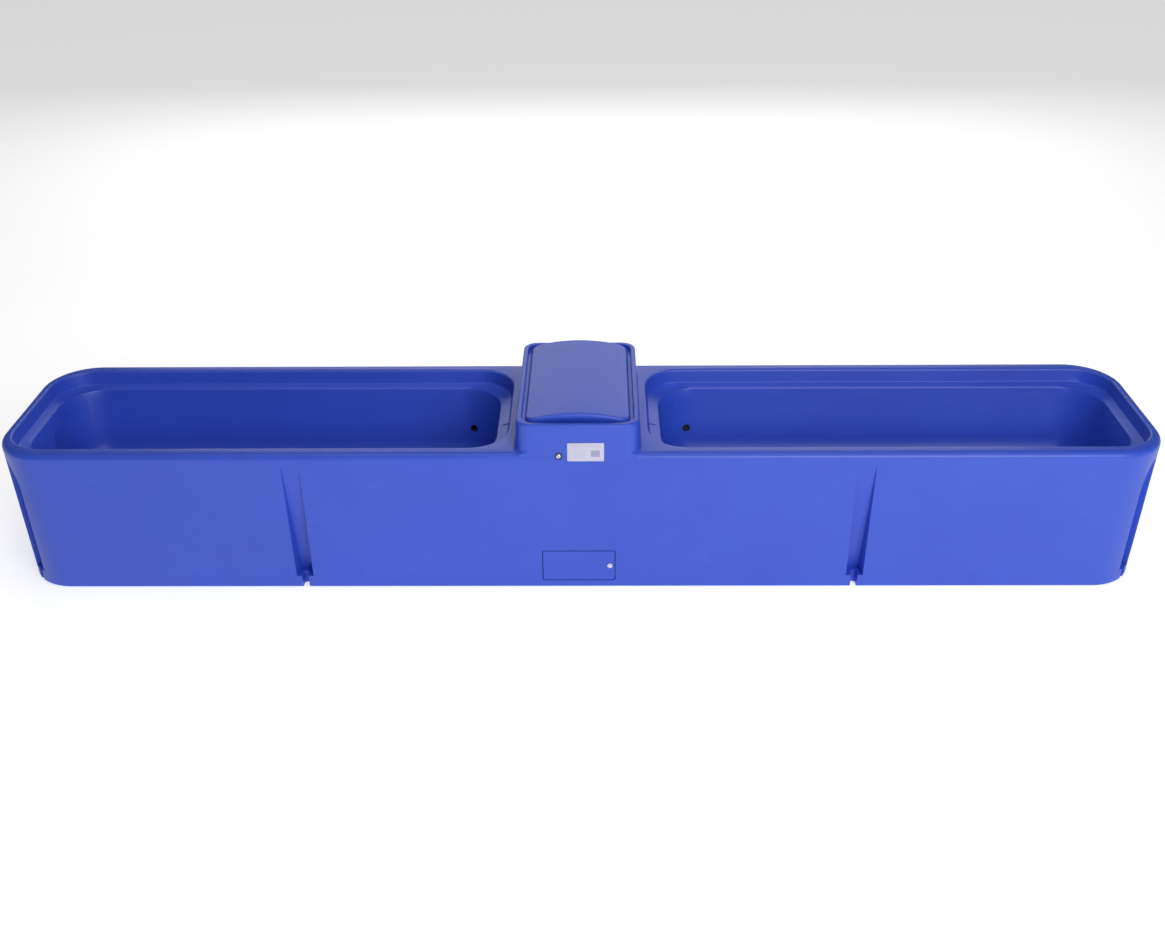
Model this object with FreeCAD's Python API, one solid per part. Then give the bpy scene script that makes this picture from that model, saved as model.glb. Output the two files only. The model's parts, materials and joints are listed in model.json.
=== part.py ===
import FreeCAD, Part
import math
import os

# Long insulated livestock drinker: two open troughs either side of a centre housing that
# holds the float valve under a lift-off lid. Millimetres. X runs along the drinker, Y from
# front to back, Z up. The origin is on the ground under the middle of the casing.

V = FreeCAD.Vector
os.makedirs("parts", exist_ok=True)

# ---- casing ----
LENGTH = 3658.0
WIDTH = 650.0
RIM_Z = 500.0
PLAN_R = 165.0
RIM_R = 20.0
BASE_R = 8.0
BASE_INSET = 13.0
WALL = 6.0

# ---- troughs ----
RIM_END = 29.0
RIM_SIDE = 50.0
TROUGH_GAP = 33.0
TROUGH_PLAN_R = 125.0
LIP_R = 8.0
BAND_DROP = 45.0
BAND_TAPER = 8.0
LEDGE_WIDE = 30.0
LEDGE_DROP = 9.0
BOWL_START_IN = 42.0
BOWL_END_IN = 35.0
BOWL_SIDE_IN = 34.0
BOWL_PLAN_R = 135.0
BOWL_TAPER = 44.0
BOWL_R = 105.0
FLOOR_Z = 180.0
LEDGE_EDGE_R = 8.0

# ---- centre housing and lid ----
HOUSING_HALF = 189.0
HOUSING_FRONT_IN = 5.5
HOUSING_BACK_IN = 35.0
HOUSING_RISE = 100.0
HOUSING_R = 45.0
HOUSING_EDGE_R = 8.0
HOUSING_LEAN = 0.0446
FOOT_R = 12.0
LAND = 16.0
LID_GAP = 11.0
LID_R = 40.0
LID_SEAT_DROP = 14.0
GASKET = 2.0
LID_EDGE_DROP = 2.0
LID_CROWN = 24.0
LID_SKIN = 5.0

# ---- wet compartment and dry service bay ----
WET_SIDE_IN = 44.0
WET_FRONT_IN = 57.5
WET_BACK_IN = 50.0
WET_DEPTH = 180.0
BAY_SIDE_IN = 39.0
BAY_FRONT_IN = 40.0
BAY_BACK_IN = 125.0
DECK_T = 35.0
FLOW_R = 35.0
FLOW_RISE = 40.0

# ---- anchor recesses ----
ANCHOR_X = 890.0
ANCHOR_TOP_DROP = 30.0
ANCHOR_HALF = 29.0
ANCHOR_BACK_HALF = 19.0
ANCHOR_DEPTH = 62.0
ANCHOR_FOOT_Z = 45.0
ANCHOR_SLOT_R = 10.5
ANCHOR_SLOT_IN = 32.0
END_HALF = 45.0
END_DEPTH = 97.0
END_TOP_DROP = 50.0
BULGE_OFF = 58.0
BULGE_SPREAD = 2.0

# ---- access panel ----
PANEL_W = 230.0
PANEL_H = 111.0
PANEL_Z = 85.0
PANEL_T = 10.0
PANEL_GAP = 3.0
PANEL_R = 5.0
REBATE = 12.0
SCREW_IN = 15.0
SCREW_HEAD_R = 8.5

# ---- nameplate and bracket bolt ----
PLATE_X0 = -32.0
PLATE_W = 113.0
PLATE_H = 62.0
PLATE_RISE = 8.0
PLATE_T = 1.2
PLATE_SEAT = 0.8
BOLT_SIDE = 27.0
BOLT_DROP = 5.0
BOLT_R = 4.0

# ---- float valve ----
VALVE_IN = 39.0
SHELF_DROP = 55.0
PIVOT_IN = 57.0
PIVOT_RISE = 38.0
PIN_R = 2.5
ARM_REACH = 232.0
ARM_DROOP = 25.8
FLOAT_R = 48.0
ROD_R = 4.0
PLUNGER_R = 6.0
FIT = 0.05

# ---- supply line ----
SUPPLY_X = 25.0
SHUT_Z = 95.0
HOSE_R = 6.0
RISER_R = 13.35
SPIGOT_R = 12.0
SPIGOT_GAP = 4.0
BULKHEAD_R = 11.0
HEATER_SIDE = 60.0
HEATER_IN = 162.0
HEATER_R = 13.0

# ---- drains and ports ----
DRAIN_IN = 269.0
DRAIN_R = 19.0
PORT_IN = 106.0
PORT_DROP = 195.0
PORT_R = 12.5
FILL_END_IN = 529.0
FILL_NEAR = 311.0
FILL_R = 12.5

# ---- derived sizes ----
HALF_L = LENGTH / 2
HALF_W = WIDTH / 2
LEAN = BASE_INSET / RIM_Z
LEAN_DEG = math.degrees(math.atan(LEAN))
HOUSING_LEAN_DEG = math.degrees(math.atan(HOUSING_LEAN))
RIM_U = RIM_R * (LEAN + math.sqrt(1 + LEAN * LEAN) - 1)
HOUSING_FRONT = HOUSING_FRONT_IN - HALF_W
HOUSING_BACK = HALF_W - HOUSING_BACK_IN
HOUSING_Z = RIM_Z + HOUSING_RISE
LID_SEAT_Z = HOUSING_Z - LID_SEAT_DROP
LID_EDGE_Z = HOUSING_Z - LID_EDGE_DROP
LID_CROWN_Z = LID_EDGE_Z + LID_CROWN
TROUGH_START = HOUSING_HALF + TROUGH_GAP
TROUGH_END = HALF_L - RIM_END
TROUGH_SIDE = HALF_W - RIM_SIDE
BOWL_START = TROUGH_START + BOWL_START_IN
BOWL_END = TROUGH_END - BOWL_END_IN
BOWL_SIDE = TROUGH_SIDE - BOWL_SIDE_IN
WET_HALF = HOUSING_HALF - WET_SIDE_IN
WET_FRONT = HOUSING_FRONT + WET_FRONT_IN
WET_BACK = HOUSING_BACK - WET_BACK_IN
WET_FLOOR_Z = RIM_Z - WET_DEPTH
FLOW_Z = WET_FLOOR_Z + FLOW_RISE
BAY_HALF = HOUSING_HALF - BAY_SIDE_IN
BAY_FRONT = BAY_FRONT_IN - HALF_W
BAY_BACK = HALF_W - BAY_BACK_IN
BAY_TOP_Z = WET_FLOOR_Z - DECK_T
ANCHOR_TOP_Z = RIM_Z - ANCHOR_TOP_DROP
END_TOP_Z = RIM_Z - END_TOP_DROP
SCREW_X = PANEL_W / 2 - SCREW_IN
PLATE_Z = RIM_Z + PLATE_RISE
BOLT_X = PLATE_X0 - BOLT_SIDE
BOLT_Z = RIM_Z - BOLT_DROP
VALVE_Y = WET_FRONT + VALVE_IN
PIVOT_Y = WET_FRONT + PIVOT_IN
SHELF_Z = BOLT_Z - SHELF_DROP
PIVOT_Z = SHELF_Z + PIVOT_RISE
HEATER_X = WET_HALF - HEATER_SIDE
HEATER_Y = WET_FRONT + HEATER_IN
FILL_X = [side * x for side in (-1, 1) for x in (HOUSING_HALF + FILL_NEAR, HALF_L - FILL_END_IN)]
DRAIN_X = HALF_L - DRAIN_IN
PORT_X = BOWL_START + PORT_IN
PORT_Z = RIM_Z - PORT_DROP
LEDGE_TOP_Z = RIM_Z - BAND_DROP
LEDGE_LOW_Z = LEDGE_TOP_Z - LEDGE_DROP
RECESS_HALF = HOUSING_HALF - LAND
RECESS_FRONT = HOUSING_FRONT + LAND + 3
RECESS_BACK = HOUSING_BACK - LAND - 1
LID_HALF = RECESS_HALF - LID_GAP
LID_FRONT = RECESS_FRONT + LID_GAP
LID_BACK = RECESS_BACK - LID_GAP
LID_BASE_Z = LID_SEAT_Z + GASKET


def wall_y(z):
    """Y of the front wall's outer face at height z."""
    return -(HALF_W + RIM_U - (RIM_Z - z) * LEAN)


def housing_y(z):
    """Y of the housing's front face at height z."""
    return HOUSING_FRONT - HOUSING_LEAN * (HOUSING_Z - HOUSING_EDGE_R - z)


def save(shape, name):
    """Write one node."""
    shape.exportStep("parts/" + name + ".step")


def fused(shapes):
    """One clean solid from shapes that touch or overlap."""
    return shapes[0].multiFuse(shapes[1:]).removeSplitter()


def outline(points):
    """Face in the XZ plane; each point (u, z, r) is a corner rounded to radius r."""
    count = len(points)
    legs = []
    for i in range(count):
        here = V(points[i][0], 0, points[i][1])
        before = V(points[i - 1][0], 0, points[i - 1][1]) - here
        after = V(points[(i + 1) % count][0], 0, points[(i + 1) % count][1]) - here
        before.normalize()
        after.normalize()
        r = points[i][2]
        if r == 0:
            legs.append((here, None, here))
            continue
        half = before.getAngle(after) / 2
        run = r / math.tan(half)
        middle = before + after
        middle.normalize()
        top = here + middle * (r / math.sin(half) - r)
        legs.append((here + before * run, top, here + after * run))
    edges = []
    for i in range(count):
        start = legs[i - 1][2]
        entry, top, leave = legs[i]
        if start.distanceToPoint(entry) > 0.001:
            edges.append(Part.makeLine(start, entry))
        if top is not None:
            edges.append(Part.Arc(entry, top, leave).toShape())
    return Part.Face(Part.Wire(edges))


def grown(points, t):
    """The same corners moved out by t; the side on the turning axis stays."""
    count = len(points)
    axis = min(p[0] for p in points)
    lines = []
    for i in range(count):
        a = points[i]
        b = points[(i + 1) % count]
        du = b[0] - a[0]
        dz = b[1] - a[1]
        size = math.hypot(du, dz)
        move = t
        if a[0] == axis and b[0] == axis:
            move = 0.0
        lines.append((a[0] + dz / size * move, a[1] - du / size * move, du, dz))
    out = []
    for i in range(count):
        u0, z0, du0, dz0 = lines[i - 1]
        u1, z1, du1, dz1 = lines[i]
        turn = du0 * dz1 - dz0 * du1
        k = ((u1 - u0) * dz1 - (z1 - z0) * du1) / turn
        r = points[i][2]
        if r > 0 and turn > 0:
            r = max(r + t, 1.0)
        if r > 0 and turn < 0:
            r = max(r - t, 1.0)
        out.append((u0 + k * du0, z0 + k * dz0, r))
    return out


def ring(x0, x1, y0, y1, r, points):
    """Solid whose edge profile runs round the rounded rectangle x0..x1, y0..y1, radius r."""
    face = outline(points)
    low = min(p[1] for p in points if p[0] == -r)
    high = max(p[1] for p in points if p[0] == -r)
    pieces = []
    middle = Part.makeBox(x1 - x0 - 2 * r, y1 - y0 - 2 * r, high - low)
    middle.translate(V(x0 + r, y0 + r, low))
    pieces.append(middle)
    corners = [(x1 - r, y0 + r, -90), (x1 - r, y1 - r, 0), (x0 + r, y1 - r, 90), (x0 + r, y0 + r, 180)]
    sides = [y1 - y0 - 2 * r, x1 - x0 - 2 * r, y1 - y0 - 2 * r, x1 - x0 - 2 * r]
    for i in range(4):
        cx, cy, start = corners[i]
        flat = face.copy()
        flat.translate(V(r, 0, 0))
        flat.rotate(V(0, 0, 0), V(0, 0, 1), start)
        flat.translate(V(cx, cy, 0))
        pieces.append(flat.revolve(V(cx, cy, 0), V(0, 0, 1), 90))
        edge = face.copy()
        edge.translate(V(r, 0, 0))
        edge.rotate(V(0, 0, 0), V(0, 0, 1), start + 90)
        edge.translate(V(cx, cy, 0))
        if i < 3:
            nx, ny, _ = corners[i + 1]
        else:
            nx, ny, _ = corners[0]
        pieces.append(edge.extrude(V(nx - cx, ny - cy, 0)))
    return fused(pieces)


def box(x0, x1, y0, y1, z0, z1):
    """Plain block between the given planes."""
    made = Part.makeBox(x1 - x0, y1 - y0, z1 - z0)
    made.translate(V(x0, y0, z0))
    return made


def rod(x, y, z, r, long, way):
    """Round bar that starts at x, y, z and runs long along way."""
    return Part.makeCylinder(r, long, V(x, y, z), way)


def hexbar(x, y, z, across, long, way):
    """Hexagonal bar that starts at x, y, z, sized across its flats."""
    r = across / math.sqrt(3)
    ring_points = []
    for i in range(7):
        a = math.radians(60 * i)
        ring_points.append(V(r * math.cos(a), r * math.sin(a), 0))
    made = Part.Face(Part.makePolygon(ring_points)).extrude(V(0, 0, long))
    made.Placement = FreeCAD.Placement(V(x, y, z), FreeCAD.Rotation(V(0, 0, 1), way))
    return made


def prism(points, way):
    """Flat face through the points, extruded along way."""
    return Part.Face(Part.makePolygon(points + [points[0]])).extrude(way)


UP = V(0, 0, 1)
DOWN = V(0, 0, -1)
FORE = V(0, -1, 0)
BACK = V(0, 1, 0)
RIGHT = V(1, 0, 0)


# ---- casing: outside shape ----
body_edge = [
    (-PLAN_R, 0.0, 0),
    (RIM_U - BASE_INSET, 0.0, BASE_R),
    (RIM_U, RIM_Z, RIM_R),
    (-PLAN_R, RIM_Z, 0),
]


def housing_u(z):
    """How far the housing's sides stand out at height z."""
    return HOUSING_LEAN * (HOUSING_Z - HOUSING_EDGE_R - z)


housing_low = RIM_Z - 0.9 * RIM_R
housing_edge = [
    (-HOUSING_R, housing_low, 0),
    (housing_u(housing_low), housing_low, 0),
    (housing_u(HOUSING_Z), HOUSING_Z, HOUSING_EDGE_R),
    (-HOUSING_R, HOUSING_Z, 0),
]
foot_u = housing_u(RIM_Z + FOOT_R)
foot_edge = [
    (-HOUSING_R, housing_low, 0),
    (foot_u + FOOT_R, housing_low, 0),
    (foot_u + FOOT_R, RIM_Z, 0),
    (foot_u, RIM_Z, FOOT_R),
    (foot_u, RIM_Z + FOOT_R, 0),
    (-HOUSING_R, RIM_Z + FOOT_R, 0),
]


def outside(t):
    """Casing and housing, with every face moved in by t."""
    body = ring(-HALF_L, HALF_L, -HALF_W, HALF_W, PLAN_R, grown(body_edge, -t))
    low = [(p[0], p[1] - 20.0 * (p[1] == housing_low), p[2]) for p in housing_edge]
    house_edge = housing_edge
    if t > 0:
        house_edge = grown(low, -t)
    house = ring(-HOUSING_HALF, HOUSING_HALF, HOUSING_FRONT, HOUSING_BACK, HOUSING_R, house_edge)
    if t > 0:
        return fused([body, house])
    foot = ring(-HOUSING_HALF, HOUSING_HALF, HOUSING_FRONT, HOUSING_BACK, HOUSING_R, foot_edge)
    top = RIM_Z + 2 * FOOT_R
    keep = prism(
        [
            V(-2 * HOUSING_HALF, housing_y(housing_low) + 0.3, housing_low),
            V(-2 * HOUSING_HALF, housing_y(top) + 0.3, top),
            V(-2 * HOUSING_HALF, HALF_W, top),
            V(-2 * HOUSING_HALF, HALF_W, housing_low),
        ],
        V(4 * HOUSING_HALF, 0, 0),
    )
    return fused([body, house, foot.common(keep)])


# ---- casing: hollows. Each function takes t, how far the hollow is grown for its lining ----
basin_edge = [
    (-TROUGH_PLAN_R, LEDGE_LOW_Z, 0),
    (-BAND_TAPER - LEDGE_WIDE, LEDGE_LOW_Z, 0),
    (-BAND_TAPER, LEDGE_TOP_Z, 3.0),
    (0.0, RIM_Z, LIP_R),
    (LIP_R, RIM_Z, 0),
    (LIP_R, RIM_Z + 30, 0),
    (-TROUGH_PLAN_R, RIM_Z + 30, 0),
]
ledge_angle = math.atan(LEDGE_DROP / LEDGE_WIDE)
ledge_u = LEDGE_EDGE_R * (1 - math.sin(ledge_angle))
bowl_top_z = LEDGE_LOW_Z + 1.5
ledge_z = bowl_top_z + ledge_u * math.tan(ledge_angle)
bowl_edge = [
    (-BOWL_PLAN_R, FLOOR_Z, 0),
    (-BOWL_TAPER, FLOOR_Z, BOWL_R),
    (0.0, bowl_top_z, LEDGE_EDGE_R * 0.98),
    (ledge_u, ledge_z, 0),
    (ledge_u, RIM_Z - 5, 0),
    (-BOWL_PLAN_R, RIM_Z - 5, 0),
]


def bulge(side):
    """Gable on the trough's outer end wall, behind the end recess."""
    slope = END_DEPTH / (END_TOP_Z - ANCHOR_FOOT_Z)
    z0 = FLOOR_Z - 40
    z1 = END_TOP_Z + 10
    ridge = HALF_L - BULGE_OFF - slope * (END_TOP_Z - z0)
    base = ridge + 75
    corners = [V(ridge, 0, z0), V(base, 75 * BULGE_SPREAD, z0), V(base, -75 * BULGE_SPREAD, z0)]
    made = prism(corners, V(slope * (z1 - z0), 0, z1 - z0))
    if side < 0:
        made = made.mirror(V(0, 0, 0), RIGHT)
    return made


def trough(side, t):
    """Basin and bowl of one trough."""
    basin = ring(
        TROUGH_START, TROUGH_END, -TROUGH_SIDE, TROUGH_SIDE, TROUGH_PLAN_R, grown(basin_edge, t)
    )
    bowl = ring(BOWL_START, BOWL_END, -BOWL_SIDE, BOWL_SIDE, BOWL_PLAN_R, grown(bowl_edge, t))
    if side < 0:
        basin = basin.mirror(V(0, 0, 0), RIGHT)
        bowl = bowl.mirror(V(0, 0, 0), RIGHT)
    gable = bulge(side)
    gable.translate(V(side * t, 0, -t))
    return [basin, bowl.cut(gable)]


def anchor(angle, x, y, half, depth, top_z, t):
    """Tapered recess and open bolt slot; angle turns the outward way from -Y."""
    run = top_z - ANCHOR_FOOT_Z
    slope = depth / run
    narrow = (half - ANCHOR_BACK_HALF) / ANCHOR_DEPTH
    out = -20.0
    low = ANCHOR_FOOT_Z - t
    shift = t * math.sqrt(1 + slope * slope)

    def wide(d):
        return half - narrow * d + t

    high = top_z - (out - shift) / slope
    deep = slope * (top_z - low) + shift
    f = [V(-wide(out), out, low), V(wide(out), out, low), V(wide(out), out, high), V(-wide(out), out, high)]
    b = [V(-wide(deep), deep, low), V(wide(deep), deep, low)]
    faces = [
        [f[0], f[1], f[2], f[3]],
        [f[0], f[1], b[1], b[0]],
        [b[0], b[1], f[2], f[3]],
        [f[1], f[2], b[1]],
        [f[0], f[3], b[0]],
    ]
    shell = Part.Shell([Part.Face(Part.makePolygon(c + [c[0]])) for c in faces])
    wedge = Part.Solid(shell)
    if wedge.Volume < 0:
        wedge.reverse()
    inner = RIM_Z * LEAN - RIM_U + ANCHOR_SLOT_IN - ANCHOR_SLOT_R
    r = ANCHOR_SLOT_R + t
    slot = box(-r, r, out, inner, -10, ANCHOR_FOOT_Z + 5)
    end = rod(0, inner, -10, r, ANCHOR_FOOT_Z + 15, UP)
    made = [wedge, slot, end]
    for piece in made:
        piece.rotate(V(0, 0, 0), UP, angle)
        piece.translate(V(x, y, 0))
    return made


def anchors(t):
    """Two recesses front and back, one at each corner and one at each end."""
    made = []
    corner = PLAN_R * (1 - math.sqrt(0.5))
    for sx in (-1, 1):
        made += anchor(0, sx * ANCHOR_X, -HALF_W, ANCHOR_HALF, ANCHOR_DEPTH, ANCHOR_TOP_Z, t)
        made += anchor(180, sx * ANCHOR_X, HALF_W, ANCHOR_HALF, ANCHOR_DEPTH, ANCHOR_TOP_Z, t)
        made += anchor(90 * sx, sx * HALF_L, 0, END_HALF, END_DEPTH, END_TOP_Z, t)
        for sy in (-1, 1):
            turn = 45 * sx
            if sy > 0:
                turn = 135 * sx
            cx = sx * (HALF_L - corner)
            cy = sy * (HALF_W - corner)
            made += anchor(turn, cx, cy, ANCHOR_HALF, ANCHOR_DEPTH, ANCHOR_TOP_Z, t)
    return made


def on_wall(shape, z):
    """Turn a shape made about the origin to lie on the leaning front wall at height z."""
    shape.rotate(V(0, 0, 0), RIGHT, LEAN_DEG)
    shape.translate(V(0, wall_y(z), z))
    return shape


def on_housing(shape, z):
    """Turn a shape made about the origin to lie on the housing's front face at height z."""
    shape.rotate(V(0, 0, 0), RIGHT, -HOUSING_LEAN_DEG)
    shape.translate(V(0, housing_y(z), z))
    return shape


def rounded_block(x0, x1, y0, y1, z0, z1, r):
    """Block whose four edges along Y are rounded to r."""
    face = outline([(x0, z0, r), (x1, z0, r), (x1, z1, r), (x0, z1, r)])
    face.translate(V(0, y0, 0))
    return face.extrude(V(0, y1 - y0, 0))


rebate_half = PANEL_W / 2 + PANEL_GAP
rebate_tall = PANEL_H / 2 + PANEL_GAP
mouth_left = -PANEL_W / 2 + 10
mouth_right = SCREW_X - 16
mouth_tall = PANEL_H / 2 - 12


def panel_hole(t):
    """Rebate for the access panel and the way through to the bay."""
    r = PANEL_R + PANEL_GAP
    seat = rounded_block(-rebate_half - t, rebate_half + t, -30, REBATE + t, -rebate_tall - t, rebate_tall + t, r)
    mouth = rounded_block(mouth_left - t, mouth_right + t, 0, 45, -mouth_tall - t, mouth_tall + t, r)
    insert = rod(SCREW_X, REBATE - 1, 0, 5.0 + t, 16 + t, BACK)
    return [on_wall(seat, PANEL_Z), on_wall(mouth, PANEL_Z), on_wall(insert, PANEL_Z)]


recess_edge = [
    (-LID_R, LID_SEAT_Z, 0),
    (0.0, LID_SEAT_Z, 2.0),
    (0.0, HOUSING_Z, 4.0),
    (4.0, HOUSING_Z, 0),
    (4.0, HOUSING_Z + 40, 0),
    (-LID_R, HOUSING_Z + 40, 0),
]
WET_R = 30.0
wet_edge = [
    (-WET_R, WET_FLOOR_Z, 0),
    (0.0, WET_FLOOR_Z, 20.0),
    (0.0, HOUSING_Z, 0),
    (-WET_R, HOUSING_Z, 0),
]
bay_edge = [
    (-WET_R, -20.0, 0),
    (0.0, -20.0, 0),
    (0.0, BAY_TOP_Z, 12.0),
    (-WET_R, BAY_TOP_Z, 0),
]


def bowl_y(z):
    """Y of the bowl's back wall at height z, above its floor radius."""
    return BOWL_SIDE - BOWL_TAPER * (bowl_top_z - z) / (bowl_top_z - FLOOR_Z)


port_face = bowl_y(PORT_Z + 1.1 * PORT_R) + 0.5


def hollows(t):
    """Every hollow and bore of the casing, grown by t."""
    made = trough(1, t) + trough(-1, t) + anchors(t) + panel_hole(t)
    made.append(
        ring(-RECESS_HALF, RECESS_HALF, RECESS_FRONT, RECESS_BACK, LID_R, grown(recess_edge, t))
    )
    made.append(ring(-WET_HALF, WET_HALF, WET_FRONT, WET_BACK, WET_R, grown(wet_edge, t)))
    made.append(ring(-BAY_HALF, BAY_HALF, BAY_FRONT, BAY_BACK, WET_R, grown(bay_edge, t)))
    flow_long = 2 * BOWL_START + 110
    made.append(rod(-flow_long / 2, 0, FLOW_Z, FLOW_R + t, flow_long, RIGHT))
    made.append(rod(BOLT_X, -HALF_W - 5, BOLT_Z, BOLT_R + 0.3 + t, HALF_W + 5 + WET_FRONT + 5, BACK))
    made.append(rod(BOLT_X, VALVE_Y, BAY_TOP_Z - 5, BULKHEAD_R + 0.3 + t, 45, UP))
    made.append(rod(HEATER_X, HEATER_Y, BAY_TOP_Z - 5, HEATER_R + 0.3 + t, 45, UP))
    for sx in (-1, 1):
        made.append(rod(sx * DRAIN_X, 0, -5, DRAIN_R + 5.3 + t, FLOOR_Z + 8, UP))
        made.append(rod(sx * PORT_X, port_face - 20, PORT_Z, PORT_R + 1 + t, 20, BACK))
        made.append(rod(sx * PORT_X, port_face - 5, PORT_Z, PORT_R - 2.5 + t, 31, BACK))
    return made


# ---- casing, its foam and the plugs in its filling holes ----
foam = outside(WALL)
for hollow in hollows(WALL):
    foam = foam.cut(hollow)
casing = outside(0.0)
for hollow in hollows(0.0):
    casing = casing.cut(hollow)
casing = casing.cut(foam)
for x in FILL_X:
    casing = casing.cut(rod(x, 0, -5, FILL_R, WALL + 5.5, UP))

ledge_deg = math.degrees(ledge_angle)
for sx in (-1, 1):
    pad = box(0, 24, -35.5, 35.5, -4, 2)
    pad.rotate(V(0, 0, 0), BACK, ledge_deg)
    pad.translate(V(TROUGH_START + BAND_TAPER - 3, 0, LEDGE_TOP_Z + 1.2))
    if sx < 0:
        pad = pad.mirror(V(0, 0, 0), RIGHT)
    casing = casing.fuse(pad)

seat = box(PLATE_X0 - 0.5, PLATE_X0 + PLATE_W + 0.5, -5, PLATE_SEAT, -PLATE_H / 2 - 0.5, PLATE_H / 2 + 0.5)
casing = casing.cut(on_housing(seat, PLATE_Z))
bolt_y = housing_y(BOLT_Z) + 0.8
casing = casing.cut(rod(BOLT_X, bolt_y, BOLT_Z, 12.5, 10, FORE))
rivet_in = 5.0
rivets_at = []
for sx in (0, 1):
    for sz in (-1, 1):
        rivets_at.append((PLATE_X0 + rivet_in + sx * (PLATE_W - 2 * rivet_in), sz * (PLATE_H / 2 - rivet_in)))
for rx, rz in rivets_at:
    casing = casing.cut(on_housing(rod(rx, PLATE_SEAT - 1, rz, 1.65, 6, BACK), PLATE_Z))
casing = casing.removeSplitter()
floor_cut = box(-LENGTH, LENGTH, -WIDTH, WIDTH, -10, WALL)
save(casing.cut(floor_cut), "casing")
save(casing.common(floor_cut), "casing_base")


# ---- the foam, cut into simple blocks: each is close to convex, so that a hull follows it ----
def sliced(shapes, axis, planes):
    """Every shape cut by planes across one axis: 0 is X, 1 is Y and 2 is Z."""
    made = []
    edges = [-LENGTH] + sorted(planes) + [LENGTH]
    for shape in shapes:
        bound = shape.BoundBox
        low = [bound.XMin, bound.YMin, bound.ZMin][axis]
        high = [bound.XMax, bound.YMax, bound.ZMax][axis]
        for start, end in zip(edges[:-1], edges[1:]):
            if end <= low or start >= high:
                continue
            if start <= low and end >= high:
                made.append(shape)
                continue
            limits = [-LENGTH, LENGTH, -LENGTH, LENGTH, -LENGTH, LENGTH]
            limits[2 * axis] = start
            limits[2 * axis + 1] = end
            made += shape.common(box(*limits)).Solids
    return made


def mirrored(planes):
    """The planes and their mirror images."""
    return [side * plane for side in (-1, 1) for plane in planes]


def parted(shapes, axis, plane):
    """Two lists: the pieces below one plane and the pieces above it."""
    pieces = sliced(shapes, axis, [plane])
    middles = [[p.CenterOfMass.x, p.CenterOfMass.y, p.CenterOfMass.z][axis] for p in pieces]
    below = [p for p, middle in zip(pieces, middles) if middle < plane]
    above = [p for p, middle in zip(pieces, middles) if middle >= plane]
    return below, above


strip = ANCHOR_SLOT_R + WALL
flow_cut = (FLOW_R + WALL) * math.sqrt(0.5)
flow_zs = [FLOW_Z - flow_cut, FLOW_Z + flow_cut]
slab_z = FLOOR_Z - WALL
foot_y = BOWL_SIDE - BOWL_TAPER
foot_ys = [foot_y, foot_y - 0.4 * BOWL_R]
split_x = TROUGH_START - LIP_R - WALL
inner_x = BOWL_START + BOWL_TAPER
outer_x = BOWL_END - BOWL_TAPER


def corner_strip(sy):
    """Slab through a corner's anchor recess, at 45 degrees."""
    slab = box(-strip, strip, -30, WIDTH / 2, -10, LID_CROWN_Z)
    corner = PLAN_R * (1 - math.sqrt(0.5))
    slab.rotate(V(0, 0, 0), UP, 90 + 45 * sy)
    slab.translate(V(HALF_L - corner, sy * (HALF_W - corner), 0))
    return slab


def cornered(shapes):
    """Pieces of the outer end, with those near a corner recess cut along its sides."""
    made = []
    for piece in shapes:
        side = math.copysign(1, piece.CenterOfMass.y)
        if abs(piece.CenterOfMass.y) < foot_ys[1]:
            made.append(piece)
            continue
        slab = corner_strip(side)
        made += piece.common(slab).Solids
        made += piece.cut(slab).Solids
    return made


def flow_split(shapes):
    """Pieces cut round the square that fits inside the flow hole."""
    made = []
    for piece in sliced(shapes, 2, flow_zs):
        if abs(piece.CenterOfMass.z - FLOW_Z) < flow_cut:
            made += sliced([piece], 1, mirrored([flow_cut]))
        else:
            made.append(piece)
    return made


def trough_blocks():
    """Blocks of the foam round the right trough."""
    whole = foam.common(box(split_x, LENGTH, -WIDTH, WIDTH, 0, RIM_Z)).Solids
    slab, walls = parted(whole, 2, slab_z)
    slab = sliced(slab, 0, [ANCHOR_X - strip, ANCHOR_X, ANCHOR_X + strip])
    slab, slab_end = parted(slab, 0, outer_x)
    slab_end = cornered(sliced(slab_end, 1, mirrored([strip, foot_ys[1]]) + [0.0]))
    walls, walls_end = parted(walls, 0, outer_x)
    walls_end = cornered(sliced(walls_end, 1, mirrored([strip] + foot_ys)))
    walls = sliced(walls, 1, mirrored(foot_ys))
    near, walls = parted(walls, 0, inner_x)
    near_middle = [piece for piece in near if abs(piece.CenterOfMass.y) < foot_ys[1]]
    near = [piece for piece in near if abs(piece.CenterOfMass.y) >= foot_ys[1]]
    steps = [inner_x + 0.4 * BOWL_R, BOWL_START + BOWL_PLAN_R, ANCHOR_X - strip, ANCHOR_X + strip]
    steps += [BOWL_END - BOWL_PLAN_R, outer_x - 0.4 * BOWL_R]
    return slab + slab_end + walls_end + near + flow_split(near_middle) + sliced(walls, 0, steps)


def room_blocks(shapes, half, front, back, level):
    """Blocks round one rounded room: its two side walls, its end walls, its corners and its floor or top."""
    soft = (WET_R + WALL) * (1 - math.sqrt(0.5))
    pieces = sliced(shapes, 0, mirrored([half]))
    sides = [piece for piece in pieces if abs(piece.CenterOfMass.x) > half]
    middle = [piece for piece in pieces if abs(piece.CenterOfMass.x) <= half]
    turn_r = WET_R + WALL
    middle = sliced(middle, 0, mirrored([half - soft, half - turn_r]))
    middle = sliced(middle, 1, [front, front + turn_r, back - turn_r, back])
    return sides, sliced(middle, 2, [level])


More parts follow.
